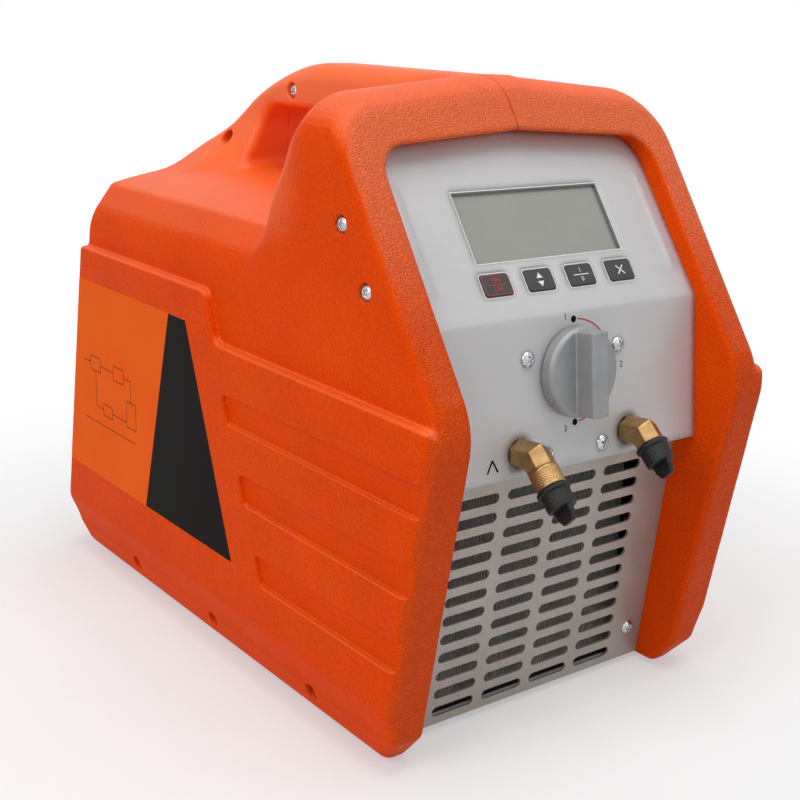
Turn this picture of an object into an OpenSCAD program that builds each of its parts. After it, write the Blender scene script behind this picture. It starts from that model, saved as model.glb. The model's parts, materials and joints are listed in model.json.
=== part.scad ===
// Refrigerant recovery machine: two moulded shell halves on a sheet base, a bent front panel
// over a slotted grille, and the condenser, fan, motor and compressor behind it.
// X runs to the right seen from the front, Y to the back and Z up, in millimetres.
// The origin is on the floor, on the seam between the halves, at mid length.

/* [Body] */
// Width over the raised lower sides
body_w = 250; // [246:1:258]
// Length from the nose of the wings to the foot of the rear wall
body_l = 434; // [430:1:446]
// Height of the deck's outer edge
deck_z = 275; // [272:1:279]
// Wall thickness of the moulded shells
wall = 3; // [2.6:0.1:3.4]
// Step between the raised lower sides and the upper sides
side_step = 6; // [5:0.5:7]
// Height of the shells' lower edge above the floor
shell_z = 1.5; // [1:0.1:2]
// Depth of the three grooves in each side
groove_d = 3.5; // [2.5:0.5:4]

/* [Hood and handle] */
// Height of the hood at its middle
hood_z = 360; // [357:1:364]
// Lean of the bezel face from vertical, in degrees
bezel_tilt = 33.9; // [33.5:0.1:34.3]
// Width of the handle bar
handle_w = 40; // [38:1:44]
// Height of the handle bar from its underside to the top
handle_h = 30; // [28:1:32]

/* [Front] */
// Width of the opening between the wings
opening_w = 194; // [192:1:196]
// Thickness of the panel, grille and rear sheets
sheet = 1.5; // [1.2:0.1:1.8]
// Lean of the lower part of the panel from vertical, in degrees
panel_tilt = 6.3; // [5.5:0.1:7]
// Lean of the upper part of the panel from vertical, in degrees
slope_tilt = 35.5; // [35:0.1:36]
// Lean of the grille from vertical, in degrees
grille_tilt = 6.2; // [5.5:0.1:7]
// Length of a grille slot
slot_l = 30.2; // [28:0.1:32]
// Height of a grille slot
slot_h = 6.2; // [5.4:0.1:6.8]

/* [Controls and ports] */
// Width of the display window
display_w = 106; // [100:1:110]
// Height of the display window along the slope
display_h = 41.7; // [38:0.1:44]
// Width of a key
key_w = 19; // [17:0.5:20]
// Height of a key along the slope
key_h = 12.4; // [11:0.2:13]
// How far a key can be pressed
key_travel = 0.5; // [0.3:0.1:0.6]
// Diameter of the function knob
knob_d = 50; // [46:1:52]
// Diameter of the flare threads on the ports
thread_d = 11; // [10:0.5:11]
// Angle by which the port elbows turn down, in degrees
port_bend = 50; // [45:1:55]

/* [Inside] */
// Diameter of the fan
fan_d = 122; // [112:1:124]
// Diameter of the motor housing
motor_d = 116; // [108:1:118]
// Diameter of the motor shaft
shaft_d = 8; // [7:0.5:9]
// Number of condenser fins
fins = 41; // [31:2:41]

/* [Hidden] */
$fn = 48;
far = 400;
touch = 0.02;
running = 0.05;
slip = 0.3;
orange = [0.86, 0.25, 0.06];
silver = [0.72, 0.72, 0.72];
brass = [0.72, 0.55, 0.25];
black = [0.08, 0.08, 0.08];
steel = [0.6, 0.61, 0.63];
copper = [0.72, 0.4, 0.25];

// Shell outline
half_w = body_w / 2;
upper_w = half_w - side_step;
floor_w = half_w - 13;
mid_y = 8.3;
nose_y = mid_y - body_l / 2 - 2.6;
nose_z = 200;
shin_tilt = 10.1;
shin_z = 20;
rear_y = mid_y + body_l / 2;
rear_z = 35;
rear_lean = 10.8;
crown = 13;
deck_w = upper_w - 15;
seam = 0.1;
skirt_z = 40;
raised_rear_z = 232;
raised_front_z = 202;
raised_y = nose_y + 221;
function bezel_y(z) = nose_y + (z - nose_z) * tan(bezel_tilt);
function shin_y(z) = nose_y + (nose_z - z) * tan(shin_tilt);
function rear_wall_y(z) = rear_y - (z - rear_z) * tan(rear_lean);
function crown_z(x) = deck_z + crown * (1 - pow(x / deck_w, 2));
rear_top_y = rear_wall_y(deck_z + crown);
hood_rear_y = nose_y + 158.6;
hood_brow_z = hood_z - 10;
hood_top_l = 20;
hood_foot_z = nose_z + 34;
side_profile = [
    [shin_y(shin_z) + 16, shell_z, 8],
    [rear_y - 15.5, shell_z, 10],
    [rear_y, rear_z, 14],
    [rear_top_y, deck_z + crown, 8],
    [bezel_y(deck_z + crown), deck_z + crown, 0],
    [nose_y, nose_z, 40],
    [shin_y(shin_z), shin_z, 8]];
trunk_section = concat(
    [[-floor_w, shell_z, 0], [floor_w, shell_z, 0], [upper_w, skirt_z / 2, 0]],
    [[upper_w, deck_z - 23, 10], [deck_w, deck_z, 5]],
    [for (i = [-6:6]) let (x = -deck_w * i / 7) [x, crown_z(x), 0]],
    [[-deck_w, deck_z, 5], [-upper_w, deck_z - 23, 10], [-upper_w, skirt_z / 2, 0]]);
raised_section = [
    [-floor_w, shell_z, 0],
    [floor_w, shell_z, 0],
    [half_w, skirt_z, 10],
    [half_w, raised_rear_z + 20, 0],
    [-half_w, raised_rear_z + 20, 0],
    [-half_w, skirt_z, 10]];
raised_profile = [
    [-far, -20, 0],
    [far, -20, 0],
    [far, raised_rear_z, 0],
    [raised_y, raised_rear_z, 8],
    [raised_y - 12, raised_front_z, 8],
    [-far, raised_front_z, 0]];
hood_profile = [
    [bezel_y(hood_foot_z), hood_foot_z, 0],
    [hood_rear_y, hood_foot_z, 0],
    [hood_rear_y, hood_z - 65, 40],
    [bezel_y(hood_z) + hood_top_l, hood_z, 17],
    [bezel_y(hood_z), hood_z, 14]];
hood_section = [
    [-upper_w, nose_z, 0],
    [upper_w, nose_z, 0],
    [upper_w, hood_brow_z, 30],
    [0, hood_z + 1, 0],
    [-upper_w, hood_brow_z, 30]];

// Handle bar and its flared rear leg
grip_z = hood_z - handle_h;
leg_y = rear_y - 106;
leg_z = hood_z - 15;
leg_top_y = leg_y - 18;
leg_arc = 145;
leg_foot_w = 84;
flare = 3.8;
function leg_w(z) = handle_w / 2 + (leg_foot_w - handle_w / 2) * pow((leg_z - z) / (leg_z - deck_z), flare);
bar_profile = [
    [hood_rear_y - 50, grip_z, 0],
    [leg_y - 76, grip_z, 0],
    [leg_y - 76, hood_z, 0],
    [hood_rear_y - 50, hood_z, 0]];
bar_section = [
    [-handle_w / 2, grip_z, 7],
    [handle_w / 2, grip_z, 7],
    [handle_w / 2, hood_z, 10],
    [-handle_w / 2, hood_z, 10]];
leg_profile = [
    [leg_y, deck_z - 14, 0],
    [rear_top_y - 2, deck_z - 14, 0],
    [rear_top_y - 2, deck_z + 19, 6],
    [leg_top_y, hood_z, leg_arc],
    [leg_y - 84, hood_z, 0],
    [leg_y - 84, grip_z, 0],
    [leg_y - 7, grip_z, 14]];
leg_section = concat(
    [[-leg_foot_w, deck_z - 30, 0], [leg_foot_w, deck_z - 30, 0]],
    [for (i = [0:9]) let (z = deck_z + (leg_z - deck_z) * i / 9) [leg_w(z), z, 0]],
    [[handle_w / 2, hood_z, 10], [-handle_w / 2, hood_z, 10]],
    [for (i = [0:9]) let (z = leg_z - (leg_z - deck_z) * i / 9) [-leg_w(z), z, 0]]);

// Front panel and grille
knob_y = nose_y + 35.2;
knob_z = 208.7;
bend_z = 240.7;
panel_z = 157;
grille_y = nose_y + 45.9;
grille_z = 140.4;
grille_foot_z = 4;
function panel_y(z) = knob_y + (z - knob_z) * tan(panel_tilt);
function slope_y(z) = panel_y(bend_z) + (z - bend_z) * tan(slope_tilt);
function grille_face_y(z) = grille_y - (z - grille_z) * tan(grille_tilt);
bend_y = panel_y(bend_z);
opening_z = hood_z - 28;
opening_section = [
    [-opening_w / 2, -far, 0],
    [opening_w / 2, -far, 0],
    [opening_w / 2, opening_z - 6, 16],
    [0, opening_z, 0],
    [-opening_w / 2, opening_z - 6, 16]];
// Line behind the sheets, g further back than their rear faces
function behind_panel(g) = let (s = (sheet + g) / cos(panel_tilt), u = (sheet + g) / cos(slope_tilt),
    z = panel_z + sheet + g, dz = (s - u) / (tan(slope_tilt) - tan(panel_tilt))) [
    [panel_y(z) + s, z, 0],
    [bend_y + tan(panel_tilt) * dz + s, bend_z + dz, 0],
    [slope_y(hood_z) + u, hood_z, 0]];
function behind_grille(g, z) = grille_face_y(z) + (sheet + g) / cos(grille_tilt);
function recess_profile(g) = concat(
    [[-far, -60, 0], [behind_grille(g, -60), -60, 0]],
    [[behind_grille(g, panel_z + sheet + g), panel_z + sheet + g, 0]],
    behind_panel(g),
    [[-far, hood_z, 0]]);
lip_w = 76;
panel_lip_w = opening_w / 2 - 7;
ear_w = panel_lip_w - 2.5;

// Grooves in the raised sides
groove_h = 17.6;
groove_z = 165;
groove_pitch = 44.5;
groove_y = nose_y + 197;
groove_lean = 22.7;

// Controls on the panel, as distances along its faces
display_v = 54;
key_v = 20.4;
key_pitch = 30.15;
key_proud = 0.9;
key_lip = 1.6;
knob_gap = 0.8;
knob_disc_h = 8;
knob_grip_h = 12;
knob_grip_w = 13;
board_n = 13;
board_t = 1.6;
board_w = 156;
board_v = [6, 94];
module_h = 50;
pane_t = 1.5;
switch_gap = key_travel + 0.2;
hood_screw_v = [29.6, 67.7];
hood_screw_n = 11.7;
panel_screw_at = [[33.45, 10.4], [-33.45, 10.4], [20.8, -43.3], [-20.8, -43.3]];
grille_screw_at = [84, 25];

// Ports
port_x = 40.6;
port_v = -39;
port_stub = 13;
port_hole = 16.5;
port_hex = 15;
elbow_l = 7.5;
sleeve_l = 11;
sleeve_d = 17;
cap_l = 12;
cap_d = 16.5;
wing_l = 9;
spigot_d = 12;
manifold_w = 104;
manifold_v = [-47, 20];
manifold_t = 30;
stem_d = 8;

// Base and fasteners
base_z = shell_z + wall;
base_t = 2;
deck_in_z = base_z + base_t;
base_hw = floor_w - 3.5;
base_y = [nose_y + 67.6, rear_y - 22];
base_flange_z = 28;
hollow_w = base_hw - 8;
lower_screw_y = [nose_y + 110.6, nose_y + 224.6, nose_y + 332.6];
lower_screw_z = 17;
handle_screw_at = [[leg_y - 40, hood_z - 19], [leg_y + 26, deck_z + 30]];
screw_d = 5;
screw_hole = 5.2;
head_d = 9.4;
head_h = 2.8;
head_room = 10.2;
boss_d = 12.5;
foot_d = 24;
foot_x = hollow_w - foot_d / 2 - 1;
foot_y = [nose_y + 120, rear_y - 47];

// Cooling and drive
condenser_y = [nose_y + 69.6, nose_y + 97.6];
condenser_w = 168;
axis_z = 84;
condenser_z = [12, axis_z + fan_d / 2 + 5];
tube_d = 9.5;
tube_rows = 5;
tube_pitch = 28;
tube_top_z = condenser_z[1] - 14;
tube_y = [nose_y + 90.6, nose_y + 76.6];
end_t = 1.5;
shroud_y = nose_y + 101.6;
fan_y = nose_y + 106;
fan_l = 22;
motor_y = [nose_y + 150, nose_y + 250];
case_y = [motor_y[1], motor_y[1] + 72];
case_w = 84;
barrel_l = 30;
head_l = 20;
head_s = 64;
pipe_d = 8;
pipe_z = 188;
head_y = (case_y[0] + case_y[1]) / 2;
head_x = case_w / 2 + barrel_l + head_l / 2;

// Rear panel
rear_mid_z = 132;
rear_open = [160, 150];
inlet_at = [48, -50];
switch_at = [8, -50];
inlet_size = [27.4, 20];
switch_size = [21.5, 15];
rocker_tilt = 9;

function unit(v) = v / norm(v);
function flat(p) = [p[0], p[1]];
function left_of(v) = [-v[1], v[0]];

// One corner of an outline moved inward by d; the third number is its radius
function inset_corner(a, b, c, d) = let (u = unit(flat(b) - flat(a)), w = unit(flat(c) - flat(b)),
    n = left_of(u), m = left_of(w), q = flat(b) + (n + m) * d / (1 + n * m),
    convex = u[0] * w[1] - u[1] * w[0] > 0)
    [q[0], q[1], b[2] > 0 ? max(0.2, b[2] + (convex ? -d : d)) : 0];
function inset(p, d) = let (n = len(p))
    [for (i = [0:n - 1]) inset_corner(p[(i + n - 1) % n], p[i], p[(i + 1) % n], d)];
function corner_arc(a, b, c, steps) = let (u = unit(flat(a) - flat(b)), w = unit(flat(c) - flat(b)),
    half = acos(u * w) / 2, q = flat(b) + unit(u + w) * b[2] / sin(half),
    s = flat(b) + u * b[2] / tan(half) - q, e = flat(b) + w * b[2] / tan(half) - q,
    turn = atan2(s[0] * e[1] - s[1] * e[0], s * e))
    [for (i = [0:steps]) let (t = turn * i / steps)
        q + [s[0] * cos(t) - s[1] * sin(t), s[0] * sin(t) + s[1] * cos(t)]];
function rounded(p, steps = 6) = let (n = len(p)) [for (i = [0:n - 1])
    each (p[i][2] > 0 ? corner_arc(p[(i + n - 1) % n], p[i], p[(i + 1) % n], steps) : [flat(p[i])])];

// Side outlines run across the machine, front outlines run along it
module across(x0, x1) {
    translate([x0, 0, 0]) rotate([90, 0, 90]) linear_extrude(x1 - x0) children();
}
module along(y0, y1) {
    translate([0, y1, 0]) rotate([90, 0, 0]) linear_extrude(y1 - y0) children();
}
module across_outline(p, d = 0) {
    across(-far, far) polygon(rounded(inset(p, d)));
}
module along_outline(p, d = 0) {
    along(-far, far) polygon(rounded(inset(p, d)));
}
module block(x, y, z) {
    translate([x[0], y[0], z[0]]) cube([x[1] - x[0], y[1] - y[0], z[1] - z[0]]);
}
module x_rod(x0, x1, d) {
    translate([x0, 0, 0]) rotate([0, 90, 0]) cylinder(h = x1 - x0, d = d);
}
module y_rod(y0, y1, d) {
    translate([0, y1, 0]) rotate([90, 0, 0]) cylinder(h = y1 - y0, d = d);
}
module rod(a, b, d) {
    v = b - a;
    translate(a) rotate([0, acos(v[2] / norm(v)), atan2(v[1], v[0])]) cylinder(h = norm(v), d = d);
}
module pipe(p) {
    for (i = [0:len(p) - 2]) rod(p[i], p[i + 1], pipe_d);
    for (i = [1:len(p) - 2]) translate(p[i]) sphere(d = pipe_d + 1.6);
}
module both_sides() {
    children();
    mirror([1, 0, 0]) children();
}

// Places on the faces: local x across, y up the face, z outward
module on_panel() {
    translate([0, knob_y, knob_z]) rotate([90 - panel_tilt, 0, 0]) children();
}
module on_slope() {
    translate([0, bend_y, bend_z]) rotate([90 - slope_tilt, 0, 0]) children();
}
module on_grille(z) {
    translate([0, grille_face_y(z), z]) rotate([90 + grille_tilt, 0, 0]) children();
}
module on_rear() {
    translate([0, rear_wall_y(rear_mid_z), rear_mid_z]) rotate([0, 0, 180]) rotate([90 - rear_lean, 0, 0])
        children();
}
module on_port(side) {
    on_panel() translate([side * port_x, port_v, port_stub]) rotate([port_bend, 0, 0]) children();
}
module plate(w, h, z0, z1) {
    translate([-w / 2, -h / 2, z0]) cube([w, h, z1 - z0]);
}
module obround(l, h, depth) {
    linear_extrude(depth) union() {
        square([l - h, h], center = true);
        translate([(l - h) / 2, 0]) circle(d = h);
        translate([(h - l) / 2, 0]) circle(d = h);
    }
}

// Pan-head cross-recess screw, head upward from z = 0
module screw(l, d = screw_d, hd = head_d, hh = head_h) {
    difference() {
        union() {
            cylinder(h = hh * 0.55, d = hd);
            translate([0, 0, hh * 0.55]) cylinder(h = hh * 0.45, d1 = hd, d2 = hd * 0.7);
            translate([0, 0, -l]) cylinder(h = l + touch, d = d);
        }
        for (a = [0, 90]) rotate([0, 0, a]) plate(hd * 0.55, hd * 0.13, hh * 0.35, hh + 1);
    }
}

// The casing as one solid, with every face moved inward by d
module casing(d) {
    intersection() {
        across_outline(side_profile, d);
        along_outline(trunk_section, d);
    }
    intersection() {
        across_outline(side_profile, d);
        across_outline(raised_profile, d);
        along_outline(raised_section, d);
    }
    intersection() {
        across_outline(hood_profile, d);
        along_outline(hood_section, d);
    }
    intersection() {
        across_outline(bar_profile, d);
        along_outline(bar_section, d);
    }
    intersection() {
        across_outline(leg_profile, d);
        along_outline(leg_section, d);
    }
}
module recess(g) {
    intersection() {
        across(-far, far) polygon([for (p = recess_profile(g + touch)) flat(p)]);
        along_outline(opening_section, -g);
    }
}
module grooves(g) {
    for (i = [0:2]) {
        z = groove_z - groove_pitch * i;
        y = groove_y - groove_pitch * i * tan(groove_lean);
        outline = [
            [-far, z - groove_h / 2, 0],
            [y - groove_h / 2 * tan(groove_lean), z - groove_h / 2, 3],
            [y + groove_h / 2 * tan(groove_lean), z + groove_h / 2, 3],
            [-far, z + groove_h / 2, 0]];
        both_sides() across(half_w - groove_d - g, far) polygon(rounded(inset(outline, -g)));
    }
}
module front_window() {
    block([-lip_w, lip_w], [-far, grille_y + 30], [-far, panel_z + 14]);
    block([-panel_lip_w, panel_lip_w], [-far, bezel_y(opening_z) + 12], [panel_z + 12, opening_z - 16]);
}
module rear_window() {
    on_rear() plate(rear_open[0], rear_open[1], -3 * wall, 3 * wall);
}
module hood_bosses(d, x0, x1) {
    on_slope() for (v = hood_screw_v) translate([0, v, -hood_screw_n]) both_sides() x_rod(x0, x1, d);
}
module lower_bosses(d, x0, x1) {
    for (y = lower_screw_y) translate([0, y, lower_screw_z]) both_sides() x_rod(x0, x1, d);
}
module handle_bosses(d, x0, x1) {
    for (p = handle_screw_at) translate([0, p[0], p[1]]) x_rod(x0, x1, d);
}
module shell_bosses() {
    intersection() {
        casing(wall / 2);
        union() {
            hood_bosses(boss_d, ear_w + sheet, far);
            lower_bosses(boss_d + 2, base_hw, far);
            handle_bosses(boss_d, -far, far);
        }
    }
}
module whole_shell() {
    difference() {
        union() {
            difference() {
                casing(0);
                difference() {
                    casing(wall);
                    recess(wall);
                    grooves(wall);
                }
                block([-hollow_w, hollow_w], [base_y[0] + 8, base_y[1] - 8], [-1, base_z + 1]);
                rear_window();
            }
            shell_bosses();
        }
        recess(0);
        front_window();
        grooves(0);
        hood_bosses(screw_hole, 0, far);
        hood_bosses(head_room, upper_w - head_h + 0.2, far);
        lower_bosses(screw_hole, 0, far);
        lower_bosses(head_room, lower_seat_x, far);
        handle_bosses(screw_hole, -far, handle_w / 2 - 2 * wall);
        handle_bosses(head_room, -far, -handle_seat_x);
        grille_screw_places() translate([0, 0, -15]) cylinder(h = 18, d = screw_d + 2 * running);
        on_rear() rear_screw_places() translate([0, 0, -4 * wall]) cylinder(h = 8 * wall, d = 4.3);
    }
}
lower_seat_x = base_hw + 3;
handle_seat_x = handle_w / 2 - 4.5;
module left_shell() {
    color(orange) difference() {
        whole_shell();
        block([-seam, far], [-far, far], [-far, far]);
        label_outline(0, 0.5);
    }
}
module right_shell() {
    color(orange) difference() {
        whole_shell();
        block([-far, seam], [-far, far], [-far, far]);
    }
}

// Two-tone print plate on the left side
module label_outline(d, t) {
    outline = [
        [nose_y + 188.1, 70, 2],
        [rear_wall_y(70) - 6, 70, 2],
        [rear_wall_y(210) - 6, 210, 2],
        [nose_y + 242.6, 210, 2]];
    across(-half_w - (d == 0 ? 1 : 0), -half_w + t) polygon(rounded(inset(outline, d)));
}
module side_label() {
    color([0.9, 0.4, 0.1]) difference() {
        label_outline(slip, 0.5);
        block([-far, -half_w + 0.1], [-far, far], [-far, far]);
    }
}

module base_plate() {
    color(steel) difference() {
        union() {
            block([-base_hw, base_hw], base_y, [base_z, deck_in_z]);
            both_sides() block([base_hw - base_t, base_hw], [base_y[0] + 8, base_y[1] - 8], [base_z, base_flange_z]);
        }
        lower_bosses(screw_d + 2 * running, 0, far);
        foot_places() translate([0, 0, -1]) cylinder(h = 20, d = 4.4);
    }
}
module foot_places() {
    for (y = foot_y) both_sides() translate([foot_x, y, 0]) children();
}
module rubber_feet() {
    color(black) foot_places() difference() {
        union() {
            cylinder(h = 2, d1 = foot_d - 3, d2 = foot_d);
            translate([0, 0, 2]) cylinder(h = base_z - 2, d = foot_d);
        }
        translate([0, 0, 1]) cylinder(h = 20, d = 4 + 2 * running);
    }
}
module foot_screws() {
    color(steel) foot_places() translate([0, 0, deck_in_z]) screw(5, 4, 8, 2.6);
}

// Bent sheet panel with its bottom return and two side ears
module control_panel() {
    back = behind_panel(0);
    outline = [
        [behind_grille(0, panel_z + sheet), panel_z],
        [behind_grille(0, panel_z + sheet), panel_z + sheet],
        flat(back[0]),
        flat(back[1]),
        flat(back[2]),
        [slope_y(hood_z), hood_z],
        [bend_y, bend_z],
        [panel_y(panel_z), panel_z]];
    color(silver) difference() {
        union() {
            intersection() {
                across(-far, far) polygon(outline);
                along_outline(opening_section, slip);
            }
            on_slope() both_sides() block([ear_w, ear_w + sheet], [18, 80], [-hood_screw_n - 9, -sheet / 2]);
        }
        on_slope() translate([0, display_v, 0]) plate(display_w, display_h, -9, 9);
        on_slope() key_places() plate(key_w + 2 * slip, key_h + 2 * slip, -9, 9);
        on_panel() translate([0, 0, -9]) cylinder(h = 18, d = stem_d + 2);
        on_panel() port_places() translate([0, 0, -9]) cylinder(h = 18, d = port_hole);
        on_panel() panel_screw_places() translate([0, 0, -9]) cylinder(h = 18, d = screw_hole);
        hood_bosses(screw_d + 2 * running, 0, far);
    }
}
module key_places() {
    for (i = [0:3]) translate([(i - 1.5) * key_pitch, key_v, 0]) children();
}
module port_places() {
    both_sides() translate([port_x, port_v, 0]) children();
}
module panel_screw_places() {
    for (p = panel_screw_at) translate([p[0], p[1], 0]) children();
}
module grille_screw_places() {
    both_sides() on_grille(grille_screw_at[1]) translate([grille_screw_at[0], 0, 0]) children();
}
module front_grille() {
    outline = [
        [grille_face_y(grille_foot_z), grille_foot_z],
        [behind_grille(0, grille_foot_z), grille_foot_z],
        [behind_grille(0, panel_z), panel_z],
        [grille_face_y(panel_z), panel_z]];
    color([0.62, 0.6, 0.56]) difference() {
        across(-opening_w / 2 + slip, opening_w / 2 - slip) polygon(outline);
        on_grille(grille_z) for (i = [0:11], j = [0:3])
            translate([(j - 1.5) * (slot_l + 6.45), -i * 11.73, -9]) obround(slot_l, slot_h, 18);
        grille_screw_places() translate([0, 0, -9]) cylinder(h = 18, d = screw_hole);
    }
}

// Display and keys
module lcd_window() {
    color([0.5, 0.53, 0.5]) on_slope() translate([0, display_v, 0])
        plate(display_w + 5, module_h - 2, -sheet - pane_t, -sheet);
}
module lcd_module() {
    color([0.3, 0.34, 0.3]) on_slope() translate([0, display_v, 0])
        plate(display_w + 8, module_h, 0.3 - board_n, -sheet - pane_t);
}
module control_board() {
    color([0.05, 0.3, 0.12]) on_slope() difference() {
        block([-board_w / 2, board_w / 2], board_v, [-board_n - board_t, -board_n]);
        translate([0, display_v, 0]) plate(display_w - 20, module_h - 14, -board_n - 9, 0);
    }
}
module board_standoffs() {
    color(brass) on_slope() for (v = board_v) both_sides()
        translate([board_w / 2 - 5, v + (v < display_v ? 5 : -5), -board_n]) cylinder(h = board_n - sheet, d = 6);
}
key_foot_n = -sheet - slip - key_lip;
module key_switches() {
    color(black) on_slope() key_places() {
        plate(6, 6, -board_n, key_foot_n - switch_gap - 1.5);
        translate([0, 0, -board_n]) cylinder(h = board_n + key_foot_n - switch_gap, d = 3.4);
    }
}
module key(i) {
    color([0.22, 0.22, 0.23]) on_slope() translate([(i - 1.5) * key_pitch, key_v, 0]) {
        plate(key_w, key_h, key_foot_n, key_proud);
        plate(key_w + 3, key_h + 2.4, key_foot_n, key_foot_n + key_lip);
    }
}
module start_key() {
    key(0);
}
module pressure_key() {
    key(1);
}
module units_key() {
    key(2);
}
module alarm_key() {
    key(3);
}

// Function knob on the valve stem
knob_top = knob_gap + knob_disc_h + knob_grip_h;
module function_knob() {
    color([0.66, 0.67, 0.68]) on_panel() difference() {
        union() {
            translate([0, 0, knob_gap]) cylinder(h = knob_disc_h - 2, d = knob_d);
            translate([0, 0, knob_gap + knob_disc_h - 2]) cylinder(h = 2, d1 = knob_d, d2 = knob_d - 3);
            intersection() {
                translate([0, 0, knob_gap]) cylinder(h = knob_disc_h + knob_grip_h, d = knob_d - 3);
                plate(knob_grip_w, knob_d, knob_gap, knob_top);
            }
        }
        translate([0, 0, -1]) cylinder(h = knob_top - 4, d = stem_d);
    }
}
module valve_stem() {
    color(steel) on_panel() translate([0, 0, -manifold_t + 8]) cylinder(h = manifold_t + knob_top - 13, d = stem_d);
}
module valve_manifold() {
    color([0.7, 0.69, 0.66]) difference() {
        on_panel() block([-manifold_w / 2, manifold_w / 2], manifold_v, [-manifold_t, -sheet - touch]);
        on_panel() translate([0, 0, -manifold_t + 7]) cylinder(h = manifold_t, d = stem_d + 2 * running);
        on_panel() port_places() translate([0, 0, -16]) cylinder(h = 20, d = spigot_d + 2 * touch);
        on_panel() panel_screw_places() translate([0, 0, -13]) cylinder(h = 20, d = screw_d + 2 * running);
    }
}
module pressure_switch() {
    color([0.25, 0.25, 0.27]) on_panel() translate([30, -8, -manifold_t]) rotate([180, 0, 0]) {
        cylinder(h = 6, d = 14, $fn = 6);
        translate([0, 0, 6]) cylinder(h = 16, d = 19);
        for (x = [-4, 4]) translate([x, 0, 22]) plate(0.8, 6, -touch, 8);
    }
}

// Service ports: brass elbow, knurled sleeve on the inlet, plastic caps with a wing
module elbow(side, reach) {
    on_panel() translate([side * port_x, port_v, 0]) {
        translate([0, 0, -15]) cylinder(h = 15 + port_stub, d = spigot_d);
        rotate([0, 0, 30]) cylinder(h = port_stub - 4, d = port_hex / cos(30), $fn = 6);
        translate([0, 0, port_stub]) sphere(d = spigot_d + 1);
    }
    on_port(side) {
        cylinder(h = reach, d = thread_d);
        cylinder(h = elbow_l - 1.5, d = spigot_d);
        translate([0, 0, 2]) rotate([0, 0, 30]) cylinder(h = elbow_l - 2, d = (port_hex - 1) / cos(30), $fn = 6);
    }
}
module cap(side, t0) {
    color(black) on_port(side) difference() {
        union() {
            translate([0, 0, t0]) cylinder(h = 2.5, d = cap_d + 2.5);
            translate([0, 0, t0 + 2.5 - touch]) cylinder(h = cap_l - 3.5, d = cap_d);
            translate([0, 0, t0 + cap_l - 1 - touch]) cylinder(h = 1, d1 = cap_d, d2 = cap_d - 2);
            translate([0, 0, t0 + cap_l - 1]) plate(3.2, cap_d * 0.8, -touch, wing_l);
        }
        translate([0, 0, t0 - 1]) cylinder(h = cap_l - 2.5, d = thread_d + 0.16);
    }
}
cap_gap = 0.4;
outlet_cap_t = elbow_l + cap_gap;
inlet_cap_t = elbow_l + sleeve_l + cap_gap;
module inlet_elbow() {
    color(brass) elbow(-1, inlet_cap_t + cap_l - 5);
}
module outlet_elbow() {
    color(brass) elbow(1, outlet_cap_t + cap_l - 5);
}
module inlet_sleeve() {
    teeth = 30;
    color(brass) on_port(-1) translate([0, 0, elbow_l]) difference() {
        union() {
            translate([0, 0, 1.5]) linear_extrude(sleeve_l - 3)
                polygon([for (i = [0:2 * teeth - 1]) (sleeve_d / 2 - (i % 2) * 0.6)
                    * [cos(180 * i / teeth), sin(180 * i / teeth)]]);
            cylinder(h = sleeve_l, d = sleeve_d - 2);
        }
        translate([0, 0, -1]) cylinder(h = sleeve_l + 2, d = thread_d + 2 * touch);
    }
}
module inlet_cap() {
    cap(-1, inlet_cap_t);
}
module outlet_cap() {
    cap(1, outlet_cap_t);
}

// Fasteners, each kind one group
module panel_screws() {
    color(steel) on_panel() panel_screw_places() translate([0, 0, touch]) screw(12);
}
module grille_screws() {
    color(steel) grille_screw_places() translate([0, 0, touch]) screw(9);
}
module hood_screws() {
    color(steel) both_sides() on_slope() for (v = hood_screw_v)
        translate([upper_w - head_h + 0.2, v, -hood_screw_n]) rotate([0, 90, 0]) screw(upper_w - ear_w + 2);
}
module handle_screws() {
    color(steel) for (p = handle_screw_at)
        translate([-handle_seat_x, p[0], p[1]]) rotate([0, -90, 0]) screw(handle_seat_x + 10);
}
module lower_screws() {
    color(steel) both_sides() for (y = lower_screw_y)
        translate([lower_seat_x, y, lower_screw_z]) rotate([0, 90, 0]) screw(10);
}
module rear_screw_places() {
    for (sx = [-1, 1], sy = [-1, 1])
        translate([sx * (rear_open[0] / 2 + 8), sy * (rear_open[1] / 2 - 12), 0]) children();
}
module rear_screws() {
    color(steel) on_rear() rear_screw_places() translate([0, 0, touch]) screw(8, 4, 8, 2.6);
}

// Condenser
module tube_places() {
    for (y = tube_y, i = [0:tube_rows - 1]) translate([y, tube_top_z - i * tube_pitch]) children();
}
module condenser_fins() {
    color([0.35, 0.36, 0.37]) for (i = [0:fins - 1])
        translate([(i / (fins - 1) - 0.5) * (condenser_w - 8), 0, 0]) across(-0.2, 0.2) difference() {
            translate([condenser_y[0], condenser_z[0]])
                square([condenser_y[1] - condenser_y[0], condenser_z[1] - condenser_z[0]]);
            tube_places() circle(d = tube_d + 2 * touch);
        }
}
module condenser_ends() {
    color(steel) both_sides() across(condenser_w / 2, condenser_w / 2 + end_t) difference() {
        translate([condenser_y[0], deck_in_z]) square([shroud_y - condenser_y[0], condenser_z[1] - deck_in_z]);
        tube_places() circle(d = tube_d + 2 * touch);
    }
}
module bend(x_side, r) {
    scale([x_side, 1, 1]) rotate([0, 0, -90]) rotate_extrude(angle = 180) translate([r, 0]) circle(d = tube_d);
}
coil_x = condenser_w / 2 + end_t + 2;
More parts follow.
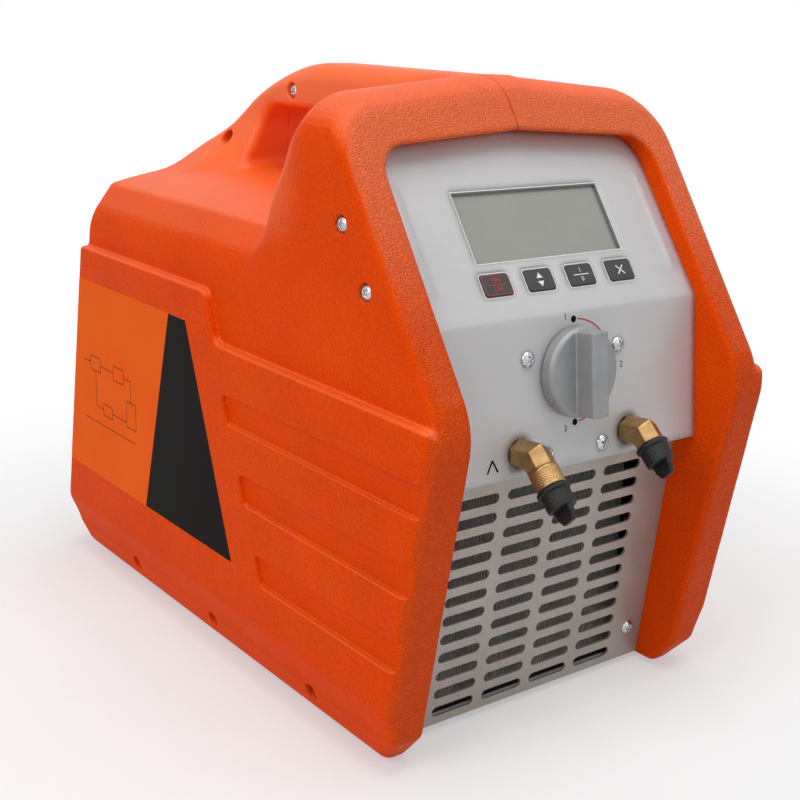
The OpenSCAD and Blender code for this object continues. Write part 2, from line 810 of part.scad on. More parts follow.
module condenser_coil() {
    color(copper) {
        for (y = tube_y, i = [0:tube_rows - 1])
            translate([0, y, tube_top_z - i * tube_pitch]) x_rod(-coil_x, coil_x, tube_d);
        for (row = [0, 1], i = [0:tube_rows - 2]) {
            side = (i % 2 == 0) ? -1 : 1;
            translate([side * coil_x, tube_y[row], tube_top_z - (i + 0.5) * tube_pitch]) rotate([90, 0, 0])
                mirror([side < 0 ? 1 : 0, 0, 0]) bend(1, tube_pitch / 2);
        }
        translate([-coil_x, (tube_y[0] + tube_y[1]) / 2, tube_top_z - (tube_rows - 1) * tube_pitch])
            mirror([1, 0, 0]) bend(1, (tube_y[0] - tube_y[1]) / 2);
    }
}

// Fan, motor and compressor on one shaft line
module at_axis() {
    translate([0, 0, axis_z]) children();
}
module fan_shroud() {
    color(black) difference() {
        union() {
            block([-condenser_w / 2 - end_t, condenser_w / 2 + end_t], [shroud_y, shroud_y + 2], [deck_in_z, condenser_z[1]]);
            at_axis() y_rod(shroud_y, shroud_y + 22, fan_d + 10);
        }
        at_axis() y_rod(shroud_y - 1, shroud_y + 40, fan_d + 5);
    }
}
module fan_rotor() {
    color([0.2, 0.2, 0.21]) at_axis() difference() {
        union() {
            y_rod(fan_y, fan_y + fan_l, 36);
            for (i = [0:5]) rotate([0, 60 * i, 0]) translate([0, fan_y + fan_l / 2, 0]) rotate([0, 0, 32])
                translate([-1, -fan_l / 2, 14]) cube([2, fan_l, fan_d / 2 - 16]);
        }
        y_rod(fan_y - 9, fan_y + fan_l + 9, shaft_d + 2 * touch);
    }
}
module motor_shaft() {
    color(steel) at_axis() {
        y_rod(fan_y - 2, case_y[1] - 12, shaft_d);
        y_rod(case_y[0] + 22, case_y[0] + 40, 34);
    }
}
module motor_housing() {
    color([0.3, 0.31, 0.33]) at_axis() difference() {
        union() {
            y_rod(motor_y[0], motor_y[1], motor_d - 8);
            y_rod(motor_y[0] + 8, motor_y[0] + 24, motor_d);
            y_rod(motor_y[1] - 24, motor_y[1] - 8, motor_d);
        }
        y_rod(motor_y[0] - 9, motor_y[1] + 9, shaft_d + 2 * running);
    }
}
module motor_bracket() {
    color(steel) difference() {
        for (y = [motor_y[0] + 10, motor_y[1] - 22])
            block([-46, 46], [y, y + 12], [deck_in_z, axis_z - 22]);
        at_axis() y_rod(motor_y[0] - 9, motor_y[1] + 9, motor_d);
    }
}
module crankcase() {
    color([0.55, 0.56, 0.57]) difference() {
        union() {
            block([-case_w / 2, case_w / 2], case_y, [axis_z - 45, axis_z + 45]);
            block([-32, 32], [case_y[0] + 12, case_y[1] - 12], [deck_in_z, axis_z - 40]);
        }
        at_axis() y_rod(case_y[0] - 9, case_y[1] - 20, shaft_d + 2 * running);
        at_axis() y_rod(case_y[0] + 10, case_y[1] - 10, 60);
    }
}
module cylinder_barrels() {
    color([0.6, 0.61, 0.62]) both_sides() translate([case_w / 2, head_y, axis_z]) {
        x_rod(0, barrel_l, 50);
        for (i = [0:3]) translate([5 + i * 6, 0, 0]) x_rod(0, 2, 60);
    }
}
module cylinder_heads() {
    x0 = case_w / 2 + barrel_l;
    color([0.5, 0.51, 0.52]) both_sides() difference() {
        block([x0, x0 + head_l], [head_y - head_s / 2, head_y + head_s / 2], [axis_z - head_s / 2, axis_z + head_s / 2]);
        for (i = [-3:3]) block([x0 + 9, far], [head_y + i * 8 - 2, head_y + i * 8 + 2], [0, axis_z + head_s / 2 - 10]);
    }
}
module suction_pipe() {
    x = -25;
    y = panel_y(pipe_z) + manifold_t / cos(panel_tilt) + 0.5;
    color(copper) pipe([
        [x, y, pipe_z],
        [x, head_y, pipe_z],
        [-head_x, head_y, pipe_z],
        [-head_x, head_y, axis_z + head_s / 2]]);
}
module discharge_pipe() {
    x = coil_x + 8;
    z = pipe_z - 16;
    color(copper) pipe([
        [head_x, head_y, axis_z + head_s / 2],
        [head_x, head_y, z],
        [x, head_y, z],
        [x, tube_y[0], z],
        [x, tube_y[0], tube_top_z],
        [coil_x, tube_y[0], tube_top_z]]);
}
module liquid_pipe() {
    x = coil_x + 8;
    z = pipe_z - 14;
    y = panel_y(z) + manifold_t / 2;
    color(copper) pipe([
        [coil_x, tube_y[1], tube_top_z],
        [x, tube_y[1], tube_top_z],
        [x, tube_y[1], z],
        [x, y, z],
        [manifold_w / 2, y, z]]);
}
module capacitor() {
    color([0.12, 0.12, 0.13]) block([-base_hw + 8, -base_hw + 38], [motor_y[0] + 10, motor_y[0] + 70], [deck_in_z, deck_in_z + 52]);
}

// Rear panel with outlet slots, mains inlet and power switch
module rear_panel() {
    color(silver) on_rear() difference() {
        plate(rear_open[0] + 24, rear_open[1] + 12, -wall - sheet, -wall - touch);
        for (i = [0:6], j = [-1:1]) translate([j * 42, 60 - i * 12, -20]) obround(36, slot_h, 40);
        translate(inlet_at) plate(inlet_size[0], inlet_size[1], -20, 20);
        translate(switch_at) plate(switch_size[0], switch_size[1], -20, 20);
        rear_screw_places() translate([0, 0, -20]) cylinder(h = 40, d = 4 + 2 * running);
    }
}
module power_inlet() {
    color(black) on_rear() translate(inlet_at) translate([0, 0, -wall]) difference() {
        union() {
            plate(inlet_size[0] + 8, inlet_size[1] + 6, 0, 2.5);
            plate(inlet_size[0], inlet_size[1], -22, 1);
        }
        plate(inlet_size[0] - 3, inlet_size[1] - 3.6, -15, 9);
        pin_places() plate(2, 4, -40, 0);
    }
}
module pin_places() {
    for (p = [[-7, -2], [0, 2], [7, -2]]) translate([p[0], p[1], 0]) children();
}
module inlet_pins() {
    color(brass) on_rear() translate(inlet_at) translate([0, 0, -wall]) pin_places() plate(2, 4, -30, -3);
}
module power_switch() {
    color(black) on_rear() translate(switch_at) translate([0, 0, -wall]) difference() {
        union() {
            plate(switch_size[0] + 4, switch_size[1] + 4, 0, 2);
            plate(switch_size[0], switch_size[1], -18, 1);
        }
        plate(switch_size[0] - 3, switch_size[1] - 3, -12, 9);
    }
}
rocker_r = 9;
rocker_dish = 12;
module power_rocker() {
    w = switch_size[1] - 3 - 2 * slip;
    color([0.15, 0.15, 0.15]) on_rear() translate([switch_at[0], switch_at[1], -wall - 3]) difference() {
        intersection() {
            translate([0, w / 2, 0]) rotate([90, 0, 0]) cylinder(h = w, r = rocker_r);
            plate(13, w, -2, 9);
        }
        translate([0, w, rocker_dish + 4.5]) rotate([90, 0, 0]) cylinder(h = 2 * w, r = rocker_dish);
    }
}

left_shell();
right_shell();
side_label();
base_plate();
rubber_feet();
foot_screws();
control_panel();
front_grille();
rear_panel();
lcd_window();
lcd_module();
control_board();
board_standoffs();
key_switches();
start_key();
pressure_key();
units_key();
alarm_key();
function_knob();
valve_stem();
valve_manifold();
inlet_elbow();
inlet_sleeve();
inlet_cap();
outlet_elbow();
outlet_cap();
pressure_switch();
panel_screws();
grille_screws();
hood_screws();
handle_screws();
lower_screws();
rear_screws();
condenser_fins();
condenser_ends();
condenser_coil();
fan_shroud();
fan_rotor();
motor_shaft();
motor_housing();
motor_bracket();
crankcase();
cylinder_barrels();
cylinder_heads();
suction_pipe();
discharge_pipe();
liquid_pipe();
capacitor();
power_inlet();
inlet_pins();
power_switch();
power_rocker();
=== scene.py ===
import bpy
import json
import math
import numpy as np
from mathutils import Matrix, Vector


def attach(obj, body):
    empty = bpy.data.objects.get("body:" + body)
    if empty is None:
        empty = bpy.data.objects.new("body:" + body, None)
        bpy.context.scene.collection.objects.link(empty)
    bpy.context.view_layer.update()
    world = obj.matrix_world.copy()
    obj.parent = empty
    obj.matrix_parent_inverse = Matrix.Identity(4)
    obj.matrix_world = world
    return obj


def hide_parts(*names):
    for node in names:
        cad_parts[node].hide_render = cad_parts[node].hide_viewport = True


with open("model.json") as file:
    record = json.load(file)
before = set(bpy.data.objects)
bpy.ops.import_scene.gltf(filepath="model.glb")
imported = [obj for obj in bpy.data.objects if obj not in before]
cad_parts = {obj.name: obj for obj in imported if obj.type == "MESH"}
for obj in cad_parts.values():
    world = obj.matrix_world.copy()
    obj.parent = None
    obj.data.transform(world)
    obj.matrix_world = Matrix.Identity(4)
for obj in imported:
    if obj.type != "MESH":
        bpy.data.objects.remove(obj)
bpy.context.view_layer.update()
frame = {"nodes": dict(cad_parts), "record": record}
nodes = frame["nodes"]
scene = bpy.context.scene
scene.view_settings.view_transform = "Standard"
rad = math.radians

# Values of the casing, in millimetres, named as in the part's source
half_w, upper_w, floor_w = 125.0, 119.0, 112.0
nose_y, nose_z, rear_y, rear_z = -211.3, 200.0, 225.3, 35.0
deck_z, crown, hood_z, shell_z, wall = 275.0, 13.0, 360.0, 1.5, 3.0
bezel_tilt, shin_tilt, rear_lean = rad(33.9), rad(10.1), rad(10.8)
shin_z, skirt_z, deck_w = 20.0, 40.0, upper_w - 15
hood_rear_y, hood_top_l = nose_y + 158.6, 20.0
handle_w, handle_h, leg_arc = 40.0, 30.0, 145.0
grip_z, leg_y = hood_z - handle_h, rear_y - 106
leg_top_y, leg_foot_z = leg_y - 18, deck_z - 14
raised_rear_z, raised_front_z, raised_y = 232.0, 202.0, nose_y + 221
panel_tilt, slope_tilt, grille_tilt = rad(6.3), rad(35.5), rad(6.2)
knob_y, knob_z, bend_z, panel_z = nose_y + 35.2, 208.7, 240.7, 157.0
grille_y, grille_z, sheet = nose_y + 45.9, 140.4, 1.5
opening_w, opening_z = 194.0, hood_z - 28
rear_panel_z, rear_panel_h = 132.0, 150.0
groove_z, groove_y, groove_pitch, groove_half, groove_depth = 165.0, nose_y + 197, 44.5, 8.8, 3.5
groove_slope = math.tan(rad(22.7))

# Values of the edges and blends
bevel_h, bevel_r = 23.0, 5.0
hood_slope_h, hood_heel_r, hood_blend_r = 65.0, 40.0, 28.0
shoulder_drop, shoulder_r = 10.0, 30.0
side_edge_r, hood_edge_r = 6.0, 7.0
leg_fall, leg_run = 19.0, 73.7
nose_r, end_edge_r, recess_edge_r, seam_edge_r = 40.0, 8.5, 3.5, 0.9

# Limits past the casing, where open outlines end
past_x, past_y, below_z, over_h, far_z = 160.0, 400.0, -100.0, 60.0, 460.0
fit_gap, seam_gap = 0.02, 0.01


def bezel_y(z):
    return nose_y + (z - nose_z) * math.tan(bezel_tilt)


def shin_y(z):
    return nose_y + (nose_z - z) * math.tan(shin_tilt)


def rear_wall_y(z):
    return rear_y - (z - rear_z) * math.tan(rear_lean)


def panel_y(z):
    return knob_y + (z - knob_z) * math.tan(panel_tilt)


bend_y = panel_y(bend_z)


def slope_y(z):
    return bend_y + (z - bend_z) * math.tan(slope_tilt)


def grille_face_y(z):
    return grille_y - (z - grille_z) * math.tan(grille_tilt)


def slope_at(v, n):
    return (bend_y + v * math.sin(slope_tilt) - n * math.cos(slope_tilt),
            bend_z + v * math.cos(slope_tilt) + n * math.sin(slope_tilt))


# Screws of the casing: places, seats and the recesses for their heads
hood_screw_v, hood_screw_n = (29.6, 67.7), -11.7
hood_screw_at = [slope_at(v, hood_screw_n) for v in hood_screw_v]
lower_screw_at = [(nose_y + d, 17.0) for d in (110.6, 224.6, 332.6)]
handle_screw_at = [(leg_y - 40, hood_z - 19), (leg_y + 26, deck_z + 30)]
hood_seat_x, lower_seat_x, handle_seat_x = upper_w - 2.6, 111.5, handle_w / 2 - 4.5
head_hole_d, boss_d, lower_boss_d, hood_boss_x = 10.2, 12.5, 14.5, 89.0

# Printed plate on the left side
label_low, label_high, label_rear_gap = 70.0, 210.0, 6.0
label_corners = [(nose_y + 188.1, label_low), (rear_wall_y(label_low) - label_rear_gap, label_low),
                 (rear_wall_y(label_high) - label_rear_gap, label_high), (nose_y + 242.6, label_high)]


# Points on the faces, as local frames with z outward
def frame_at(origin, tilt):
    return Matrix.Translation(Vector(origin) / 1000) @ Matrix.Rotation(tilt, 4, "X")


def at(x, y, z):
    return Matrix.Translation(Vector((x, y, z)) / 1000)


on_panel = frame_at((0, knob_y, knob_z), math.pi / 2 - panel_tilt)
on_slope = frame_at((0, bend_y, bend_z), math.pi / 2 - slope_tilt)
on_rear = (at(0, rear_wall_y(rear_panel_z), rear_panel_z) @ Matrix.Rotation(math.pi, 4, "Z")
           @ Matrix.Rotation(math.pi / 2 - rear_lean, 4, "X"))


def on_grille(z):
    return frame_at((0, grille_face_y(z), z), math.pi / 2 + grille_tilt)


# Outlines with rounded corners and their distance fields
def rounded(points, steps=10):
    """The outline's points, with an arc at each corner that names a radius."""
    out = []
    n = len(points)
    for i in range(n):
        a, b, c = (np.array(points[j % n][:2], float) for j in (i - 1, i, i + 1))
        r = points[i][2] if len(points[i]) > 2 else 0
        if r <= 0:
            out.append(b)
            continue
        u = (a - b) / np.linalg.norm(a - b)
        w = (c - b) / np.linalg.norm(c - b)
        half = math.acos(max(-1, min(1, u @ w))) / 2
        m = (u + w) / np.linalg.norm(u + w)
        q = b + m * r / math.sin(half)
        s, e = b + u * r / math.tan(half) - q, b + w * r / math.tan(half) - q
        turn = math.atan2(s[0] * e[1] - s[1] * e[0], s @ e)
        for k in range(steps + 1):
            cos_t, sin_t = math.cos(turn * k / steps), math.sin(turn * k / steps)
            out.append(q + np.array([s[0] * cos_t - s[1] * sin_t, s[0] * sin_t + s[1] * cos_t]))
    return np.array(out)


def mirrored(right):
    """Closed outline from its right half, listed upward."""
    return right + [(-p[0], *p[1:]) for p in reversed(right) if p[0] != 0]


def outline_field(points, a, b):
    """Distance to the outline on the grid a by b, negative inside."""
    p = rounded(points)
    q = np.roll(p, -1, 0)
    A, B = np.meshgrid(a, b, indexing="ij")
    d = np.full(A.shape, 1e12)
    inside = np.zeros(A.shape, bool)
    for (x0, y0), (x1, y1) in zip(p, q):
        ex, ey = x1 - x0, y1 - y0
        if ex * ex + ey * ey < 1e-12:
            continue
        t = np.clip(((A - x0) * ex + (B - y0) * ey) / (ex * ex + ey * ey), 0, 1)
        d = np.minimum(d, (A - x0 - t * ex) ** 2 + (B - y0 - t * ey) ** 2)
        if y0 != y1:
            inside ^= ((y0 > B) != (y1 > B)) & (A < ex * (B - y0) / ey + x0)
    return (np.where(inside, -1, 1) * np.sqrt(d)).astype(np.float32)


def meet(a, b, r):
    """Overlap of two fields with an edge of radius r."""
    return np.minimum(np.maximum(a, b), -r) + np.hypot(np.maximum(a + r, 0), np.maximum(b + r, 0))


def join(a, b, r):
    """Union of two fields with a fillet of radius r."""
    return np.maximum(np.minimum(a, b), r) - np.hypot(np.maximum(r - a, 0), np.maximum(r - b, 0))


def layer(V, low, high):
    """Distance to the slice between low and high."""
    return np.abs(V - (low + high) / 2) - (high - low) / 2


def ease(v, low, high):
    """Smooth step from 0 at low to 1 at high."""
    t = np.clip((v - low) / (high - low), 0, 1)
    return t * t * (3 - 2 * t)


def surface(field, xs, ys, zs):
    """Points and quads of the closed surface where the field is zero."""
    inside = field < 0
    nx, ny, nz = (n - 1 for n in field.shape)
    corners = [(a, b, c) for a in (0, 1) for b in (0, 1) for c in (0, 1)]
    count = np.zeros((nx, ny, nz), np.uint8)
    for a, b, c in corners:
        count += inside[a:nx + a, b:ny + b, c:nz + c]
    active = (count > 0) & (count < 8)
    index = np.full(active.shape, -1, np.int32)
    ci, cj, ck = np.nonzero(active)
    index[ci, cj, ck] = np.arange(len(ci))
    total = np.zeros((len(ci), 3))
    hits = np.zeros(len(ci))
    value = {(a, b, c): field[ci + a, cj + b, ck + c].astype(float) for a, b, c in corners}
    for axis in range(3):
        for p in (0, 1):
            for q in (0, 1):
                low, high = [p, q], [p, q]
                low.insert(axis, 0)
                high.insert(axis, 1)
                va, vb = value[tuple(low)], value[tuple(high)]
                cut = (va < 0) != (vb < 0)
                t = va / np.where(cut, va - vb, 1)
                pos = [xs[ci + low[0]], ys[cj + low[1]], zs[ck + low[2]]]
                end = [xs[ci + high[0]], ys[cj + high[1]], zs[ck + high[2]]]
                for k in range(3):
                    total[:, k] += np.where(cut, pos[k] + (end[k] - pos[k]) * t, 0)
                hits += cut
    points = total / hits[:, None]
    quads = []
    for axis in range(3):
        before = [slice(1, n - 1) for n in field.shape]
        before[axis] = slice(0, field.shape[axis] - 1)
        after = list(before)
        after[axis] = slice(1, field.shape[axis])
        lo, hi = inside[tuple(before)], inside[tuple(after)]
        where = np.nonzero(lo != hi)
        cell_at = [w + (0 if k == axis else 1) for k, w in enumerate(where)]
        u, v = (axis + 1) % 3, (axis + 2) % 3
        ring = []
        for du, dv in ((-1, -1), (0, -1), (0, 0), (-1, 0)):
            cell = list(cell_at)
            cell[u] = cell[u] + du
            cell[v] = cell[v] + dv
            ring.append(index[cell[0], cell[1], cell[2]])
        ring = np.stack(ring, 1)
        back = hi[where]
        ring[back] = ring[back][:, ::-1]
        quads.append(ring)
    return points, np.concatenate(quads)


def mesh_object(name, points, quads, smooth=True):
    """A mesh from points in millimetres."""
    mesh = bpy.data.meshes.new(name)
    mesh.vertices.add(len(points))
    mesh.vertices.foreach_set("co", (points / 1000).astype(np.float32).ravel())
    n = quads.shape[1]
    mesh.loops.add(quads.size)
    mesh.loops.foreach_set("vertex_index", quads.astype(np.int32).ravel())
    mesh.polygons.add(len(quads))
    mesh.polygons.foreach_set("loop_start", np.arange(0, quads.size, n, dtype=np.int32))
    mesh.polygons.foreach_set("use_smooth", np.full(len(quads), smooth))
    mesh.update(calc_edges=True)
    mesh.validate()
    obj = bpy.data.objects.new(name, mesh)
    scene.collection.objects.link(obj)
    return obj


# Casing as a distance field on the right half
def casing_field(xs, ys, zs):
    """Outside of the casing, without the panel recess and the grooves."""
    yz = lambda p: outline_field(p, ys, zs)[None, :, :]
    xz = lambda p: outline_field(p, xs, zs)[:, None, :]
    Y = ys.astype(np.float32)[None, :, None]
    Z = zs.astype(np.float32)[None, None, :]
    behind_bezel = (Y - nose_y - (Z - nose_z) * math.tan(bezel_tilt)) * math.cos(bezel_tilt)

    # Deck surface with its bevelled sides, open to the front and the rear
    bevel = bevel_h / (upper_w - deck_w)
    crown_arc = [(deck_w * i / 10, deck_z + crown * (1 - (i / 10) ** 2)) for i in range(9, -1, -1)]
    deck = xz(mirrored([(past_x, below_z), (past_x, deck_z - bevel * (past_x - deck_w)),
                        (deck_w, deck_z, bevel_r)] + crown_arc))

    # Rear of the hood, open to the front, run out onto the deck
    top_y = bezel_y(hood_z) + hood_top_l
    run = (top_y - hood_rear_y) / hood_slope_h
    hood = yz([(-past_y, below_z), (hood_rear_y, below_z), (hood_rear_y, hood_z - hood_slope_h, hood_heel_r),
               (top_y + over_h * run, hood_z + over_h), (-past_y, hood_z + over_h)])
    body = join(deck, hood, hood_blend_r)

    # Side walls, with a softer edge on the hood
    low_z = shell_z - 30
    sides = xz(mirrored([(floor_w - 11, low_z), (upper_w, skirt_z / 2),
                         (upper_w, hood_z - shoulder_drop, shoulder_r), (0, hood_z + 1)]))
    on_hood = ease(Z, deck_z + 5, deck_z + 40) * ease(behind_bezel, 6, 40)
    body = meet(body, sides, side_edge_r + hood_edge_r * on_hood)

    # Handle: bar and sloped rear leg in one outline
    drop = (hood_z - deck_z - leg_fall) / leg_run
    bar_start = hood_rear_y - 50
    side_view = yz([(bar_start, grip_z), (leg_y - 7, grip_z, 14), (leg_y, leg_foot_z),
                    (leg_top_y + (hood_z - leg_foot_z) / drop, leg_foot_z), (leg_top_y, hood_z, leg_arc),
                    (bar_start, hood_z)])
    front_view = xz(mirrored([(46, leg_foot_z), (37, deck_z + 14, 30), (handle_w / 2, grip_z - 4, 60),
                              (handle_w / 2, hood_z + 20)]))
    handle = meet(side_view, front_view, 7 + 7 * ease(Z, grip_z, hood_z - 6))
    body = join(body, handle, 8 + 22 * ease(Y, leg_y - 6, leg_y + 30))
    body = np.maximum(body, Z - hood_z)

    # Raised lower sides
    raised_section = xz(mirrored([(floor_w - 10, low_z), (half_w, skirt_z, 14), (half_w, hood_z - over_h)]))
    raised = yz([(-past_y, -20), (past_y, -20), (past_y, raised_rear_z), (raised_y, raised_rear_z, 9),
                 (raised_y - 12, raised_front_z, 9), (-past_y, raised_front_z)])
    body = join(body, meet(raised_section, raised, 3.0), 2.0)

    # Bezel, shin, floor and rear wall
    ends = yz([(shin_y(shin_z) + 16, shell_z, 8), (rear_y - 15.5, shell_z, 10), (rear_y, rear_z, 14),
               (rear_wall_y(far_z), far_z), (bezel_y(far_z), far_z), (nose_y, nose_z, nose_r),
               (shin_y(shin_z), shin_z, 8)])
    return meet(body, ends, end_edge_r + 4 * ease(Z, hood_z - 40, hood_z))


def shell_field(xs, ys, zs, left):
    """One half of the casing as a thin wall with its recess, grooves, bosses and openings."""
    yz = lambda p: outline_field(p, ys, zs)[None, :, :]
    xz = lambda p: outline_field(p, xs, zs)[:, None, :]
    X = xs.astype(np.float32)[:, None, None]
    Y = ys.astype(np.float32)[None, :, None]
    Z = zs.astype(np.float32)[None, None, :]
    circle = lambda y, z, d: np.hypot(Y - y, Z - z) - d / 2
    body = casing_field(xs, ys, zs)

    # Recess in front of the panel and the grille
    seat = sheet + fit_gap
    s, u = seat / math.cos(panel_tilt), seat / math.cos(slope_tilt)
    z0 = panel_z + seat
    dz = (s - u) / (math.tan(slope_tilt) - math.tan(panel_tilt))
    back = lambda z: grille_face_y(z) + seat / math.cos(grille_tilt)
    behind = yz([(-past_y, -over_h), (back(-over_h), -over_h), (back(z0), z0), (panel_y(z0) + s, z0),
                 (bend_y + math.tan(panel_tilt) * dz + s, bend_z + dz), (slope_y(hood_z) + u, hood_z),
                 (-past_y, hood_z)])
    opening = xz(mirrored([(opening_w / 2, -past_y), (opening_w / 2, opening_z - 6, 16), (0, opening_z)]))
    recess = np.maximum(behind, opening)

    # Three grooves on the side, each shorter than the one above
    groove = np.float32(1e3)
    dy = groove_half * groove_slope
    for i in range(3):
        z, y = groove_z - groove_pitch * i, groove_y - groove_pitch * i * groove_slope
        groove = np.minimum(groove, yz([(-past_y, z - groove_half), (y - dy, z - groove_half, 3),
                                        (y + dy, z + groove_half, 3), (-past_y, z + groove_half)]))
    groove = meet(groove, half_w - groove_depth - X, 0.5)
    inner = np.maximum(np.maximum(body + wall, wall - recess), wall - groove)
    out = meet(body, -recess, recess_edge_r)
    out = meet(out, -groove, 1.2)
    out = np.maximum(out, -inner)

    # Bosses for the screws
    boss = np.float32(1e3)
    for y, z in hood_screw_at:
        boss = np.minimum(boss, np.maximum(circle(y, z, boss_d), hood_boss_x - X))
    for y, z in lower_screw_at:
        boss = np.minimum(boss, np.maximum(circle(y, z, lower_boss_d), lower_seat_x - wall - X))
    for y, z in handle_screw_at:
        boss = np.minimum(boss, circle(y, z, boss_d))
    out = np.minimum(out, np.maximum(boss, body + wall / 2))

    # Openings behind the grille, behind the panel, in the floor and in the rear wall
    block = lambda w, along, up: np.maximum(np.maximum(X - w, along), up)
    for cut in (block(76, Y - (grille_y + 30), Z - (panel_z + 14)),
                block(90, Y - (bezel_y(opening_z) + 12), layer(Z, panel_z + 12, opening_z - 16)),
                block(100.5, layer(Y, nose_y + 75.6, rear_y - 30), Z - 5.5)):
        out = np.maximum(out, -cut)
    c, sn = math.cos(rear_lean), math.sin(rear_lean)
    corner = lambda v, n: (rear_wall_y(rear_panel_z) - v * sn + n * c, rear_panel_z + v * c + n * sn)
    v, n = rear_panel_h / 2, 9
    rear_opening = yz([corner(-v, -n), corner(-v, n), corner(v, n), corner(v, -n)])
    out = meet(out, -np.maximum(rear_opening, X - 80), 1.0)

    # Recesses for the screw heads, and for the printed plate on the left
    for y, z in hood_screw_at:
        out = meet(out, -np.maximum(circle(y, z, head_hole_d), hood_seat_x - X), 0.9)
    for y, z in lower_screw_at:
        out = meet(out, -np.maximum(circle(y, z, head_hole_d), lower_seat_x - X), 1.2)
    if left:
        for y, z in handle_screw_at:
            out = meet(out, -np.maximum(circle(y, z, head_hole_d), handle_seat_x - X), 0.9)
        label = yz([(y, z, 2) for y, z in label_corners])
        out = np.maximum(out, -np.maximum(label, half_w - 0.5 - X))
    return meet(out, np.broadcast_to(seam_gap - X, out.shape), seam_edge_r)


# Materials
def shader(name):
    m = bpy.data.materials.new(name)
    m.use_nodes = True
    return m, m.node_tree, m.node_tree.nodes["Principled BSDF"]


def node(tree, kind, links=(), **values):
    """A shader node with its settings and the sockets that feed it."""
    n = tree.nodes.new(kind)
    for key, value in values.items():
        if key in n.inputs:
            n.inputs[key].default_value = value
        else:
            setattr(n, key, value)
    for source, socket in links:
        tree.links.new(source, n.inputs[socket])
    return n


def coords(tree):
    return node(tree, "ShaderNodeTexCoord").outputs["Object"]


def combine(tree, operation, a, b):
    return node(tree, "ShaderNodeMath", [(a, 0), (b, 1)], operation=operation).outputs[0]


def carry(tree, value, low, high, to_low=0.0, to_high=1.0, kind="SMOOTHSTEP"):
    """The value's range from low to high, carried over to to_low and to_high."""
    n = node(tree, "ShaderNodeMapRange", [(value, "Value")], interpolation_type=kind)
    for key, v in (("From Min", low), ("From Max", high), ("To Min", to_low), ("To Max", to_high)):
        n.inputs[key].default_value = v
    return n.outputs["Result"]


def ramp(tree, fac, dark, light):
    """Two tones across the middle of a noise."""
    n = node(tree, "ShaderNodeValToRGB", [(fac, "Fac")])
    for stop, place, colour in zip(n.color_ramp.elements, (0.3, 0.7), (dark, light)):
        stop.position = place
        stop.color = (*colour, 1)
    return n.outputs["Color"]


def srgb(r, g, b):
    f = lambda v: v / 12.92 if v <= 0.04045 else ((v + 0.055) / 1.055) ** 2.4
    return tuple(f(v / 255) for v in (r, g, b))


def surface_material(name, dark, light, rough, metal=0.0, spot=40.0, grain=900.0, bump=0.3,
                     round_edge=0.0, shine=0.5):
    """Two close tones in soft patches, a grain in relief and a roughness that follows it."""
    m, t, b = shader(name)
    place = coords(t)
    patches = node(t, "ShaderNodeTexNoise", [(place, "Vector")], Scale=spot, Detail=4.0, Roughness=0.6)
    t.links.new(ramp(t, patches.outputs["Fac"], srgb(*dark), srgb(*light)), b.inputs["Base Color"])
    fine = node(t, "ShaderNodeTexNoise", [(place, "Vector")], Scale=grain, Detail=3.0, Roughness=0.55)
    height = fine.outputs["Fac"]
    t.links.new(carry(t, height, 0.0, 1.0, *rough, kind="LINEAR"), b.inputs["Roughness"])
    relief = node(t, "ShaderNodeBump", [(height, "Height")], Strength=bump, Distance=0.0002)
    if round_edge:
        soft = node(t, "ShaderNodeBevel", Radius=round_edge, samples=8)
        t.links.new(soft.outputs["Normal"], relief.inputs["Normal"])
    t.links.new(relief.outputs["Normal"], b.inputs["Normal"])
    b.inputs["Metallic"].default_value = metal
    b.inputs["Specular IOR Level"].default_value = shine
    return m


